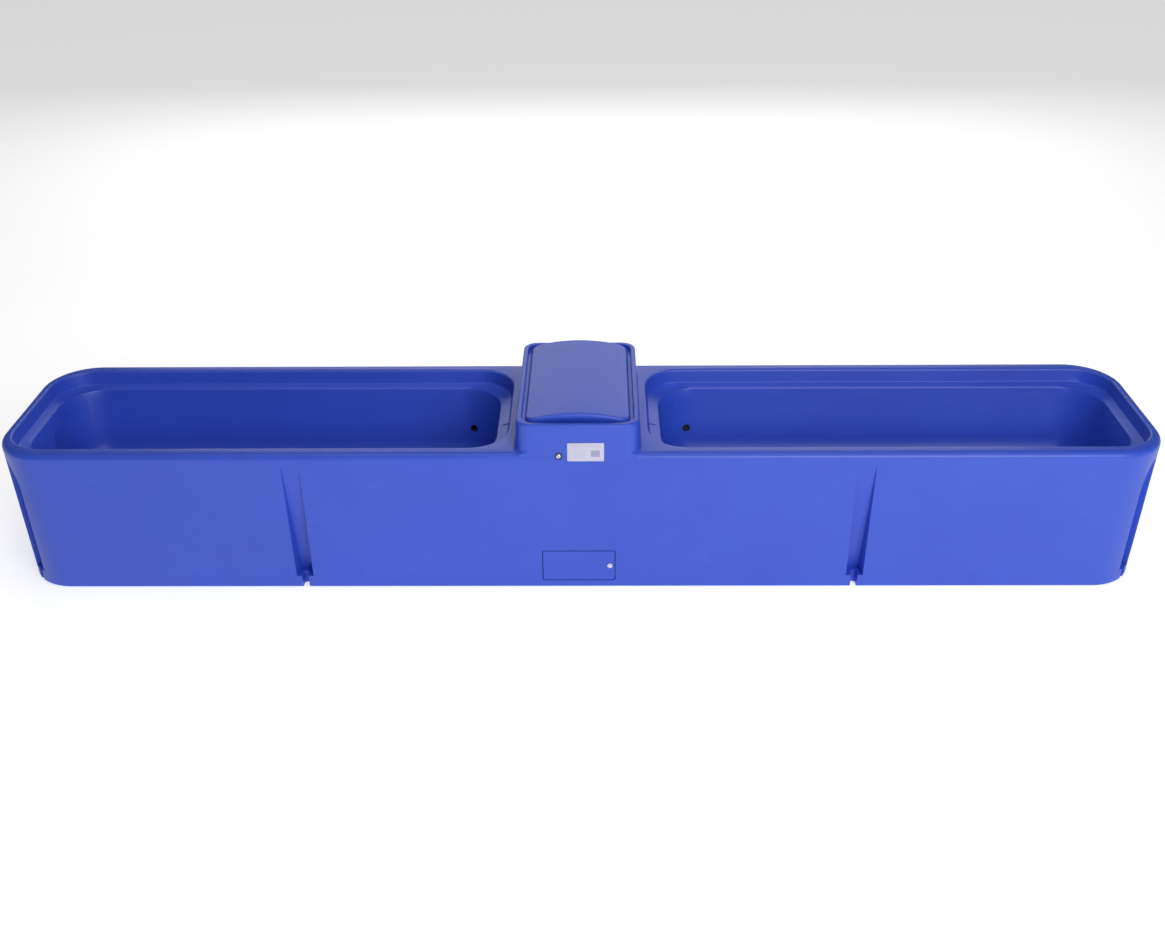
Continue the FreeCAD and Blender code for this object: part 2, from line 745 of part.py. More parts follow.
def centre_blocks():
    """Blocks of the foam under and round the housing."""
    whole = foam.common(box(-split_x, split_x, -WIDTH, WIDTH, 0, LID_CROWN_Z)).Solids
    low, high = parted(whole, 2, (BAY_TOP_Z + WET_FLOOR_Z) / 2)
    sides, middle = room_blocks(low, BAY_HALF + WALL, BAY_FRONT - WALL, BAY_BACK + WALL, BAY_TOP_Z + WALL)
    made = sides + middle
    sides, middle = room_blocks(high, WET_HALF + WALL, WET_FRONT - WALL, WET_BACK + WALL, WET_FLOOR_Z - WALL)
    return made + sliced(flow_split(sides) + middle, 2, [RIM_Z - WALL])


right_blocks = trough_blocks()
left_blocks = [piece.mirror(V(0, 0, 0), RIGHT) for piece in right_blocks]
save(Part.makeCompound(left_blocks), "foam_left")
save(Part.makeCompound(centre_blocks()), "foam_centre")
save(Part.makeCompound(right_blocks), "foam_right")
plugs = []
for x in FILL_X:
    plugs.append(rod(x, 0, 1.5, FILL_R - FIT, WALL - 1.5, UP))
save(Part.makeCompound(plugs), "fill_plugs")

# ---- nameplate, its rivets and the bolt that carries the valve bracket ----
plate = rounded_block(
    PLATE_X0, PLATE_X0 + PLATE_W, PLATE_SEAT - PLATE_T, PLATE_SEAT, -PLATE_H / 2, PLATE_H / 2, 3.0
)
rivets = []
for rx, rz in rivets_at:
    plate = plate.cut(rod(rx, -5, rz, 1.65, 10, BACK))
    head = rod(rx, PLATE_SEAT - PLATE_T - 1.2, rz, 3.2, 1.2, BACK)
    shank = rod(rx, PLATE_SEAT - PLATE_T, rz, 1.6, 5.5, BACK)
    rivets.append(on_housing(head.fuse(shank), PLATE_Z))
save(on_housing(plate, PLATE_Z), "nameplate")
save(Part.makeCompound(rivets), "nameplate_rivets")

WASHER_T = 1.5
BRACKET_T = 3.0
washer = rod(BOLT_X, bolt_y, BOLT_Z, 11.5, WASHER_T, FORE)
washer = washer.cut(rod(BOLT_X, bolt_y + 1, BOLT_Z, BOLT_R + FIT, 5, FORE))
save(washer, "bolt_washer")
bolt = rod(BOLT_X, bolt_y - WASHER_T, BOLT_Z, 8.0, 4.0, FORE)
bolt = bolt.fuse(rod(BOLT_X, bolt_y - WASHER_T, BOLT_Z, BOLT_R, WET_FRONT + 15 - bolt_y + WASHER_T, BACK))
save(bolt, "bracket_bolt")
nut = hexbar(BOLT_X, WET_FRONT + BRACKET_T, BOLT_Z, 13.0, 6.5, BACK)
nut = nut.cut(rod(BOLT_X, WET_FRONT, BOLT_Z, BOLT_R + FIT, 20, BACK))
save(nut, "bracket_nut")

# ---- bracket and float valve ----
shelf_low = SHELF_Z - BRACKET_T
leg = box(BOLT_X - 30, BOLT_X + 30, WET_FRONT, WET_FRONT + BRACKET_T, shelf_low, BOLT_Z + 20)
shelf = box(BOLT_X - 30, BOLT_X + 30, WET_FRONT, VALVE_Y + 23, shelf_low, SHELF_Z)
bracket = leg.fuse(shelf)
bracket = bracket.cut(rod(BOLT_X, WET_FRONT - 1, BOLT_Z, BOLT_R + 0.2, 10, BACK))
bracket = bracket.cut(rod(BOLT_X, VALVE_Y, shelf_low - 1, 10.2, 10, UP))
save(bracket.removeSplitter(), "valve_bracket")

NECK_R = 10.0
TUBE_R = 7.5
neck_low = SHELF_Z - 35
seat_z = SHELF_Z + 7
body_top = SHELF_Z + 20
valve = rod(BOLT_X, VALVE_Y, neck_low, NECK_R, 40, UP)
valve = valve.fuse(hexbar(BOLT_X, VALVE_Y, SHELF_Z, 32.0, 6.0, UP))
valve = valve.fuse(rod(BOLT_X, VALVE_Y, SHELF_Z, 13.0, 20, UP))
for sx in (-1, 1):
    near = BOLT_X + sx * PLUNGER_R
    lug = prism(
        [
            V(near, VALVE_Y, SHELF_Z + 5),
            V(near, PIVOT_Y + 8, SHELF_Z + 5),
            V(near, PIVOT_Y + 8, PIVOT_Z + 8),
            V(near, PIVOT_Y - 8, PIVOT_Z + 8),
            V(near, PIVOT_Y - 8, body_top),
            V(near, VALVE_Y, body_top),
        ],
        V(sx * 4.0, 0, 0),
    )
    valve = valve.fuse(lug)
valve = valve.cut(rod(BOLT_X, VALVE_Y, neck_low - 1, TUBE_R + FIT, 9, UP))
valve = valve.cut(rod(BOLT_X, VALVE_Y, neck_low, 4.0, 45, UP))
valve = valve.cut(rod(BOLT_X, VALVE_Y, seat_z, PLUNGER_R + FIT, 30, UP))
valve = valve.cut(rod(BOLT_X, VALVE_Y, seat_z + 4, 3.0, 30, V(-1, 0, 0)))
valve = valve.cut(rod(BOLT_X - 20, PIVOT_Y, PIVOT_Z, PIN_R + FIT, 40, RIGHT))
save(valve.removeSplitter(), "valve_body")
nut = hexbar(BOLT_X, VALVE_Y, shelf_low - 7.5, 28.0, 7.5, UP)
save(nut.cut(rod(BOLT_X, VALVE_Y, shelf_low - 10, NECK_R + FIT, 20, UP)), "valve_nut")
pin = rod(BOLT_X - 12, PIVOT_Y, PIVOT_Z, PIN_R, 24, RIGHT)
pin = pin.fuse(rod(BOLT_X - 13.5, PIVOT_Y, PIVOT_Z, 4.0, 2.0, RIGHT))
pin = pin.fuse(rod(BOLT_X + 11.5, PIVOT_Y, PIVOT_Z, 4.0, 2.0, RIGHT))
save(pin, "arm_pin")

PLUNGER_TRAVEL = 4.8
seal_z = seat_z + PLUNGER_TRAVEL + 0.2
head_z = body_top + PLUNGER_TRAVEL + 1.2
plunger = rod(BOLT_X, VALVE_Y, seal_z + 3, PLUNGER_R, head_z - seal_z - 3, UP)
plunger = plunger.fuse(rod(BOLT_X, VALVE_Y, head_z, 8.0, 3.0, UP))
save(plunger, "valve_plunger")
save(rod(BOLT_X, VALVE_Y, seal_z, PLUNGER_R - 0.2, 3.0, UP), "valve_seal")

# ---- float arm, at rest hanging as it does in an empty drinker ----
droop = math.radians(ARM_DROOP)
along = V(0, math.cos(droop), -math.sin(droop))
hub_half = PLUNGER_R - 0.3
nose_z = head_z + 3.0 + 0.5 + 4.0
arm = rod(BOLT_X - hub_half, PIVOT_Y, PIVOT_Z, 7.0, 2 * hub_half, RIGHT)
arm = arm.fuse(rod(BOLT_X - 4, VALVE_Y, nose_z, 4.0, 8.0, RIGHT))
reach_y = VALVE_Y - PIVOT_Y
reach_z = nose_z - PIVOT_Z
size = math.hypot(reach_y, reach_z)
side_y = -reach_z / size * 3.0
side_z = reach_y / size * 3.0
link = prism(
    [
        V(BOLT_X - 4, PIVOT_Y + side_y, PIVOT_Z + side_z),
        V(BOLT_X - 4, VALVE_Y + side_y, nose_z + side_z),
        V(BOLT_X - 4, VALVE_Y - side_y, nose_z - side_z),
        V(BOLT_X - 4, PIVOT_Y - side_y, PIVOT_Z - side_z),
    ],
    V(8, 0, 0),
)
arm = arm.fuse(link)
bar = rod(BOLT_X, PIVOT_Y, PIVOT_Z, ROD_R, ARM_REACH + FLOAT_R + 14, along)
arm = arm.fuse(bar).cut(rod(BOLT_X - 20, PIVOT_Y, PIVOT_Z, PIN_R + FIT, 40, RIGHT))
save(arm.removeSplitter(), "float_arm")
middle = V(BOLT_X, PIVOT_Y, PIVOT_Z) + along * ARM_REACH
ball = Part.makeSphere(FLOAT_R, middle)
bore = Part.makeCylinder(ROD_R + FIT, 3 * FLOAT_R, middle - along * (1.5 * FLOAT_R), along)
save(ball.cut(bore), "float_ball")
nuts = []
for offset in (-FLOAT_R - 7, FLOAT_R):
    at = middle + along * offset
    nuts.append(hexbar(at.x, at.y, at.z, 14.0, 7.0, along).cut(bore))
save(Part.makeCompound(nuts), "float_nuts")

# ---- supply line: ground riser, shut-off, hose, bulkhead and tube to the valve ----
bulk_low = BAY_TOP_Z - 17
bulk = rod(BOLT_X, VALVE_Y, bulk_low, BULKHEAD_R, WET_FLOOR_Z + 15 - bulk_low, UP)
bulk = bulk.fuse(hexbar(BOLT_X, VALVE_Y, WET_FLOOR_Z + 2, 34.0, 6.0, UP))
bulk = bulk.fuse(rod(BOLT_X, VALVE_Y, bulk_low - 6, 8.5, 8, UP))
bulk = bulk.cut(rod(BOLT_X, VALVE_Y, bulk_low - 10, 4.0, 100, UP))
bulk = bulk.cut(rod(BOLT_X, VALVE_Y, WET_FLOOR_Z + 5, TUBE_R + FIT, 20, UP))
save(bulk.removeSplitter(), "supply_bulkhead")
ring_cut = rod(BOLT_X, VALVE_Y, 0, BULKHEAD_R + FIT, 600, UP)
save(rod(BOLT_X, VALVE_Y, WET_FLOOR_Z, 19.0, 2.0, UP).cut(ring_cut), "bulkhead_gasket")
save(hexbar(BOLT_X, VALVE_Y, BAY_TOP_Z - 8, 34.0, 8.0, UP).cut(ring_cut), "bulkhead_nut")
tube_low = WET_FLOOR_Z + 5
tube = rod(BOLT_X, VALVE_Y, tube_low, TUBE_R, neck_low + 8 - tube_low, UP)
save(tube.cut(rod(BOLT_X, VALVE_Y, tube_low - 1, TUBE_R - 2, 200, UP)), "riser_tube")

shut_low = SHUT_Z - 35
shut_top = SHUT_Z + 35
BALL_R = 11.0
BORE_R = 8.0
STEM_R = 4.0
lever_y = VALVE_Y - 35
shut = rod(SUPPLY_X, VALVE_Y, shut_low, 17.0, 70, UP)
shut = shut.fuse(Part.makeSphere(20.0, V(SUPPLY_X, VALVE_Y, SHUT_Z)))
shut = shut.fuse(rod(SUPPLY_X, VALVE_Y, SHUT_Z, 9.0, 28, FORE))
shut = shut.fuse(rod(SUPPLY_X, VALVE_Y, shut_top, 8.5, 10, UP))
shut = shut.cut(rod(SUPPLY_X, VALVE_Y, shut_low - 1, SPIGOT_R + FIT, 13, UP))
shut = shut.cut(rod(SUPPLY_X, VALVE_Y, shut_low, BORE_R, 66, UP))
shut = shut.cut(rod(SUPPLY_X, VALVE_Y, SHUT_Z, 4.0, 60, UP))
shut = shut.cut(Part.makeSphere(BALL_R + FIT, V(SUPPLY_X, VALVE_Y, SHUT_Z)))
shut = shut.cut(rod(SUPPLY_X, VALVE_Y, SHUT_Z, STEM_R + FIT, 40, FORE))
save(shut.removeSplitter(), "shutoff_body")
plug = Part.makeSphere(BALL_R, V(SUPPLY_X, VALVE_Y, SHUT_Z))
plug = plug.cut(rod(SUPPLY_X, VALVE_Y, SHUT_Z - 20, BORE_R, 40, UP))
stem = rod(SUPPLY_X, VALVE_Y - BALL_R + 1.5, SHUT_Z, STEM_R, 35 - BALL_R + 1.5, FORE)
stem = stem.fuse(rod(SUPPLY_X, lever_y, SHUT_Z, 3.0, 11, FORE))
save(plug.fuse(stem).removeSplitter(), "shutoff_ball")
LEVER = 75.0
lever = box(SUPPLY_X - 8, SUPPLY_X + 8, lever_y - 3, lever_y, SHUT_Z, SHUT_Z + LEVER)
lever = lever.fuse(rod(SUPPLY_X, lever_y, SHUT_Z, 10.0, 3, FORE))
lever = lever.cut(rod(SUPPLY_X, lever_y + 1, SHUT_Z, 3.0 + FIT, 10, FORE))
save(lever.removeSplitter(), "shutoff_lever")
grip = rounded_block(SUPPLY_X - 10.5, SUPPLY_X + 10.5, lever_y - 5.5, lever_y + 2.5, SHUT_Z + 24, SHUT_Z + LEVER + 3, 5)
save(grip.cut(lever), "lever_grip")
nut = hexbar(SUPPLY_X, lever_y - 3, SHUT_Z, 10.0, 5.0, FORE)
save(nut.cut(rod(SUPPLY_X, lever_y, SHUT_Z, 3.0 + FIT, 20, FORE)), "lever_nut")
riser_low = 6.0
riser = rod(SUPPLY_X, VALVE_Y, riser_low, RISER_R, shut_low - SPIGOT_GAP - riser_low, UP)
riser = riser.fuse(rod(SUPPLY_X, VALVE_Y, riser_low, SPIGOT_R, shut_low + 11.8 - riser_low, UP))
save(riser.cut(rod(SUPPLY_X, VALVE_Y, 0, 10.0, 200, UP)), "inlet_riser")

hose_low = shut_top + 10
hose_high = bulk_low - 6
shift = BOLT_X - SUPPLY_X
climb = hose_high - hose_low
sweep = 2 * math.atan(abs(shift) / climb)
bend = climb / (2 * math.sin(sweep))
turn = math.copysign(1, shift)
mid_x = (BOLT_X + SUPPLY_X) / 2
mid_z = (hose_low + hose_high) / 2
quarter = sweep / 2
low_x = SUPPLY_X + turn * bend * (1 - math.cos(quarter))
low_z = hose_low + bend * math.sin(quarter)
top_x = BOLT_X - turn * bend * (1 - math.cos(quarter))
top_z = hose_high - bend * math.sin(quarter)
first = Part.Arc(V(SUPPLY_X, VALVE_Y, hose_low), V(low_x, VALVE_Y, low_z), V(mid_x, VALVE_Y, mid_z))
second = Part.Arc(V(mid_x, VALVE_Y, mid_z), V(top_x, VALVE_Y, top_z), V(BOLT_X, VALVE_Y, hose_high))
route = Part.Wire([first.toShape(), second.toShape()])
start = Part.Wire([Part.makeCircle(HOSE_R, V(SUPPLY_X, VALVE_Y, hose_low), UP)])
hose = route.makePipeShell([start], True, False)
save(hose, "supply_hose")
print("hose bend radius", round(bend, 1), "hose", hose.isValid(), round(hose.Volume / (math.pi * HOSE_R ** 2 * route.Length), 4))
low_nut = hexbar(SUPPLY_X, VALVE_Y, shut_top + 1, 24.0, 15.0, UP)
low_nut = low_nut.cut(rod(SUPPLY_X, VALVE_Y, shut_top, 8.5 + FIT, 10, UP)).cut(hose)
low_nut = low_nut.cut(rod(SUPPLY_X, VALVE_Y, hose_low - 1, HOSE_R + 0.3, 20, UP))
high_nut = hexbar(BOLT_X, VALVE_Y, hose_high - 7, 24.0, 12.0, UP)
high_nut = high_nut.cut(rod(BOLT_X, VALVE_Y, hose_high, 8.5 + FIT, 10, UP)).cut(hose)
high_nut = high_nut.cut(rod(BOLT_X, VALVE_Y, hose_high - 10, HOSE_R + 0.3, 20, UP))
save(Part.makeCompound([low_nut, high_nut]), "hose_nuts")

# ---- immersion heater and its terminal box ----
ring_cut = rod(HEATER_X, HEATER_Y, 0, HEATER_R + FIT, 600, UP)
heater = rod(HEATER_X, HEATER_Y, BAY_TOP_Z - 23, HEATER_R, WET_FLOOR_Z + 4 - BAY_TOP_Z + 23, UP)
heater = heater.fuse(hexbar(HEATER_X, HEATER_Y, WET_FLOOR_Z + 2, 36.0, 8.0, UP))
element = []
for sx in (-1, 1):
    heater = heater.cut(rod(HEATER_X + sx * 10, HEATER_Y, WET_FLOOR_Z + 4, 4.03, 10, UP))
    element.append(rod(HEATER_X + sx * 10, HEATER_Y, WET_FLOOR_Z + 4, 4.0, 61, UP))
save(heater.removeSplitter(), "heater_plug")
loop = Part.makeTorus(10, 4, V(HEATER_X, HEATER_Y, WET_FLOOR_Z + 65), BACK)
loop = loop.common(box(HEATER_X - 20, HEATER_X + 20, HEATER_Y - 9, HEATER_Y + 9, WET_FLOOR_Z + 65, WET_FLOOR_Z + 90))
save(fused(element + [loop]), "heater_element")
save(rod(HEATER_X, HEATER_Y, WET_FLOOR_Z, 21.0, 2.0, UP).cut(ring_cut), "heater_gasket")
save(hexbar(HEATER_X, HEATER_Y, BAY_TOP_Z - 9, 38.0, 9.0, UP).cut(ring_cut), "heater_nut")
box_top = BAY_TOP_Z - 10
box_low = box_top - 60
shell = box(HEATER_X - 35, HEATER_X + 35, HEATER_Y - 38, HEATER_Y + 38, box_low, box_top)
room = box(HEATER_X - 32, HEATER_X + 32, HEATER_Y - 39, HEATER_Y + 35, box_low + 3, box_top - 3)
screws = []
for sx in (-1, 1):
    for z in (box_low + 7, box_top - 7):
        x = HEATER_X + sx * 28
        room = room.cut(box(x - 5, x + 5, HEATER_Y - 40, HEATER_Y - 22, z - 5, z + 5))
        hole = rod(x, HEATER_Y - 45, z, 1.6 + FIT, 20, BACK)
        shell = shell.cut(hole)
        screws.append(rod(x, HEATER_Y - 43, z, 3.2, 2, BACK).fuse(rod(x, HEATER_Y - 41, z, 1.6, 15, BACK)))
shell = shell.cut(room).cut(ring_cut).cut(rod(HEATER_X, HEATER_Y, box_low - 1, 8.0, 5, UP))
save(shell.removeSplitter(), "terminal_box")
cover = box(HEATER_X - 35, HEATER_X + 35, HEATER_Y - 41, HEATER_Y - 38, box_low, box_top)
for screw in screws:
    cover = cover.cut(screw)
save(cover, "terminal_cover")
save(Part.makeCompound(screws), "cover_screws")
gland = hexbar(HEATER_X, HEATER_Y, box_low - 8, 20.0, 8.0, UP)
gland = gland.fuse(rod(HEATER_X, HEATER_Y, box_low - 14, 8.5, 8, UP))
gland = gland.fuse(rod(HEATER_X, HEATER_Y, box_low - 2, 8.0 - FIT, 10, UP))
save(gland.cut(rod(HEATER_X, HEATER_Y, box_low - 20, 3.5, 60, UP)).removeSplitter(), "cable_gland")

# ---- drains with their lift-out plugs, and the blanked ports ----
for sx, side in ((-1, "left"), (1, "right")):
    x = sx * DRAIN_X
    bush = rod(x, 0, 3.0, DRAIN_R + 5, FLOOR_Z, UP)
    bush = bush.fuse(rod(x, 0, FLOOR_Z, 34.0, 4.0, UP))
    save(bush.cut(rod(x, 0, -5, DRAIN_R, FLOOR_Z + 30, UP)).removeSplitter(), "drain_bushing_" + side)
    top = FLOOR_Z + 4.0
    stopper = rod(x, 0, top - 18, DRAIN_R - FIT, 19, UP)
    stopper = stopper.fuse(rod(x, 0, top + 0.3, DRAIN_R + 6, 6, UP))
    stopper = stopper.fuse(box(x - 2.5, x + 2.5, -5, 5, top + 5, top + 18))
    stopper = stopper.cut(rod(x - 10, 0, top + 12.3, 2.5, 20, RIGHT))
    save(stopper.removeSplitter(), "drain_plug_" + side)
    save(Part.makeTorus(12, 2, V(x, 0, top + 24.3), BACK), "plug_ring_" + side)
    x = sx * PORT_X
    port = rod(x, port_face - 5, PORT_Z, PORT_R, 5, BACK)
    port = port.fuse(rod(x, port_face, PORT_Z, PORT_R - 2.5 - FIT, 25, BACK))
    port = port.cut(box(x - 8, x + 8, port_face - 6, port_face - 3, PORT_Z - 1.5, PORT_Z + 1.5))
    save(port.removeSplitter(), "port_plug_" + side)

# ---- access panel with its insulation, gasket, captive screw and the insert in the casing ----
insert = rod(SCREW_X, REBATE, 0, 5.0 - 0.03, 14, BACK).cut(rod(SCREW_X, REBATE - 1, 0, 3.0 + FIT, 20, BACK))
save(on_wall(insert, PANEL_Z), "panel_insert")
panel = rounded_block(-PANEL_W / 2, PANEL_W / 2, 0, PANEL_T, -PANEL_H / 2, PANEL_H / 2, PANEL_R)
panel = panel.cut(rod(SCREW_X, -1, 0, 3.3, 20, BACK)).cut(rod(SCREW_X, -1, 0, SCREW_HEAD_R + 0.3, 2, BACK))
save(on_wall(panel, PANEL_Z), "access_panel")
block = rounded_block(
    mouth_left + 2.5, mouth_right - 2.5, PANEL_T, 28, -mouth_tall + 2.5, mouth_tall - 2.5, PANEL_R
)
save(on_wall(block, PANEL_Z), "panel_foam")
strip = rounded_block(
    -PANEL_W / 2 + 1.5, mouth_right + 7, PANEL_T, REBATE - 0.3, 1.5 - PANEL_H / 2, PANEL_H / 2 - 1.5, PANEL_R
)
strip = strip.cut(
    rounded_block(mouth_left, mouth_right, PANEL_T - 1, REBATE, -mouth_tall, mouth_tall, PANEL_R)
)
save(on_wall(strip, PANEL_Z), "panel_gasket")
screw = rod(SCREW_X, -2, 0, SCREW_HEAD_R, 3, BACK)
screw = screw.cut(box(SCREW_X - 5, SCREW_X + 5, -3, -0.5, -0.9, 0.9))
screw = screw.fuse(rod(SCREW_X, 1, 0, 3.0, REBATE + 11, BACK))
save(on_wall(screw, PANEL_Z), "panel_screw")

# ---- lid: vaulted shell, foam filling, liner tray and sealing strip ----
LID_CORNER_R = LID_R - 4
lid_edge = [
    (-LID_CORNER_R, LID_BASE_Z, 0),
    (0.0, LID_BASE_Z, 0),
    (-6.0, LID_BASE_Z + 42, 0),
    (-LID_CORNER_R, LID_BASE_Z + 42, 0),
]


def vault(t):
    """Everything under the lid's crowned top, with the top moved down by t."""
    rise = LID_CROWN_Z - LID_EDGE_Z
    big = (LID_HALF ** 2 + rise ** 2) / (2 * rise)
    low = LID_BASE_Z - 60
    drum = Part.makeCylinder(big - t, 2 * WIDTH, V(0, -WIDTH, LID_CROWN_Z - big), BACK)
    return drum.common(box(-LID_HALF - 5, LID_HALF + 5, -WIDTH, WIDTH, low, LID_CROWN_Z + 5))


lid_out = ring(-LID_HALF, LID_HALF, LID_FRONT, LID_BACK, LID_CORNER_R, lid_edge).common(vault(0.0))
lid_low = [
    (-LID_CORNER_R, LID_BASE_Z - 7, 0),
    (1.0, LID_BASE_Z - 7, 0),
    (-6.0, LID_BASE_Z + 42, 0),
    (-LID_CORNER_R, LID_BASE_Z + 42, 0),
]
lid_in_edge = grown(lid_low, -LID_SKIN)
lid_in = ring(-LID_HALF, LID_HALF, LID_FRONT, LID_BACK, LID_CORNER_R, lid_in_edge).common(vault(LID_SKIN))
save(lid_out.cut(lid_in), "lid_shell")
LINER_T = 2.5
tray_half = WET_HALF - 7
tray_front = WET_FRONT + 7
tray_back = WET_BACK - 7
tray_low = LID_BASE_Z - 32
tray_r = WET_R - 5
flat = [(-tray_r, tray_low, 0), (0.0, tray_low, 4.0), (0.0, LID_BASE_Z + 1, 0), (-tray_r, LID_BASE_Z + 1, 0)]
tray = ring(-tray_half, tray_half, tray_front, tray_back, tray_r, flat)
gap = LID_SKIN + 0.2
flange = ring(
    -LID_HALF + gap, LID_HALF - gap, LID_FRONT + gap, LID_BACK - gap, LID_CORNER_R - gap,
    [
        (gap - LID_CORNER_R, LID_BASE_Z, 0),
        (0.0, LID_BASE_Z, 0),
        (-0.4, LID_BASE_Z + LINER_T, 0),
        (gap - LID_CORNER_R, LID_BASE_Z + LINER_T, 0),
    ],
)
flat_in = grown(flat, -LINER_T)
flat_in[2] = (flat_in[2][0], LID_BASE_Z + LINER_T, 0)
flat_in[3] = (flat_in[3][0], LID_BASE_Z + LINER_T, 0)
tray_room = ring(-tray_half, tray_half, tray_front, tray_back, tray_r, flat_in)
save(fused([tray, flange]).cut(tray_room), "lid_liner")
above = box(-LID_HALF, LID_HALF, LID_FRONT, LID_BACK, LID_BASE_Z + LINER_T, LID_CROWN_Z)
save(fused([lid_in.common(above), tray_room]), "lid_foam")


def plain(x, y0, y1, r, z0, z1):
    """Upright rounded slab."""
    return ring(-x, x, y0, y1, r, [(-r, z0, 0), (0.0, z0, 0), (0.0, z1, 0), (-r, z1, 0)])


seal = plain(WET_HALF + 13, WET_FRONT - 13, WET_BACK + 13, WET_R, LID_SEAT_Z + 0.3, LID_BASE_Z)
seal = seal.cut(plain(WET_HALF + 3, WET_FRONT - 3, WET_BACK + 3, WET_R - 8, LID_SEAT_Z, LID_BASE_Z + 1))
save(seal, "lid_gasket")
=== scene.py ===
# %% [markdown]
# # Long stock drinker
#
# Two open troughs stand either side of a housing that holds a float valve. The casing is
# one hollow polyethylene moulding, made by turning a steel mould in an oven, and filled
# with foam. This lesson dresses its CAD frame: it keeps the CAD pieces whose shape is
# already right, remakes the ones that need softer edges, and gives every one a finish.

# %% Load the frame
import bpy
import json
import math
import numpy as np
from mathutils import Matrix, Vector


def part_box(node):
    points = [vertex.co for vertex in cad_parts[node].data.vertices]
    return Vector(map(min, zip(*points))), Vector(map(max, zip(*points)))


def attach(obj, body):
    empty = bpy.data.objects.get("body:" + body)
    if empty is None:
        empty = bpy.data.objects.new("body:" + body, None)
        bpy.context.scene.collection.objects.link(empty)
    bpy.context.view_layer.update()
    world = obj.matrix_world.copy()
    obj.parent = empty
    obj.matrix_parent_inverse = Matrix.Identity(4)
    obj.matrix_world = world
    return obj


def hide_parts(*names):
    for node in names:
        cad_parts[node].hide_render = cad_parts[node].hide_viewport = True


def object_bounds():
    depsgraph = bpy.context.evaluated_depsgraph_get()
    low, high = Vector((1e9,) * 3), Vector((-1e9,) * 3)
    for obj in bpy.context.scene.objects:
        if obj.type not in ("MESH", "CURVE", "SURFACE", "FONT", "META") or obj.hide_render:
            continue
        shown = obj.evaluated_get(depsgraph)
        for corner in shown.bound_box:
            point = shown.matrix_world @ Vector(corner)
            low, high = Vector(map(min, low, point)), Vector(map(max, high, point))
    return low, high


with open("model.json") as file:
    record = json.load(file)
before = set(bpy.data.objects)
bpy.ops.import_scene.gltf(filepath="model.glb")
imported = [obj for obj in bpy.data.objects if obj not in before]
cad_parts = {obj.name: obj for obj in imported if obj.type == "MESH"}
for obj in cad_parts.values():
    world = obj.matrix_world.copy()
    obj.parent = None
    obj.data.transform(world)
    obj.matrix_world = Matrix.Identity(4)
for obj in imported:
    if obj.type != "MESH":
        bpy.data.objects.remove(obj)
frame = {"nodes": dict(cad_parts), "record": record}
nodes = frame["nodes"]
cad_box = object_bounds()
print("pieces from the CAD model:", len(nodes))

# %% [markdown]
# ## Camera
# The camera stands a little under four metres in front and two and a half metres up, and
# looks down at thirty degrees. A camera's direction is easiest to set as three
# perpendicular vectors: forward, right and up. They fill the rotation matrix directly, so
# no tracking constraint is needed.

# %% Place the camera
from mathutils import Matrix, Vector

CAMERA_PLACE = Vector((0.0646, -3.7881, 2.4404))
CAMERA_PITCH = 0.523908
CAMERA_YAW = -0.014455
CAMERA_ROLL = -0.009452
CAMERA_LENS = 40.10


def aim_camera(name, place, pitch, yaw, roll, lens):
    """Camera at place. forward = (sin yaw cos pitch, cos yaw cos pitch, -sin pitch)."""
    level = math.cos(pitch)
    forward = Vector((math.sin(yaw) * level, math.cos(yaw) * level, -math.sin(pitch)))
    right = Vector((math.cos(yaw), -math.sin(yaw), 0.0))
    up = right.cross(forward)
    rolled_right = right * math.cos(roll) + up * math.sin(roll)
    rolled_up = up * math.cos(roll) - right * math.sin(roll)
    data = bpy.data.cameras.new(name)
    data.lens = lens
    data.sensor_width = 36.0
    data.clip_end = 60.0
    camera = bpy.data.objects.new(name, data)
    turn = Matrix((rolled_right, rolled_up, -forward)).transposed()
    camera.matrix_world = Matrix.Translation(place) @ turn.to_4x4()
    bpy.context.scene.collection.objects.link(camera)
    bpy.context.scene.camera = camera
    return camera


camera = aim_camera("camera", CAMERA_PLACE, CAMERA_PITCH, CAMERA_YAW, CAMERA_ROLL, CAMERA_LENS)
print("camera at", [round(v, 3) for v in camera.matrix_world.translation])

# %% [markdown]
# ## Helpers for surfaces
# Every new piece is a grid of points: rows run across it and columns run round it. numpy
# works out the whole grid at once, and one function turns any grid into a mesh. The grid
# closes round its columns, and its first and last rows may be gathered into a point or a
# line, whose doubled points are merged.

# %% Grid to mesh
import bmesh

WELD = 1e-6


def grid_faces(rows, columns, closed):
    """Quads between neighbouring rows and columns; closed joins the last column to the first."""
    r = np.arange(rows - 1)[:, None]
    c = np.arange(columns if closed else columns - 1)[None, :]
    d = (c + 1) % columns
    here = r * columns
    above = here + columns
    return np.stack([here + c, here + d, above + d, above + c], axis=-1).reshape(-1, 4)


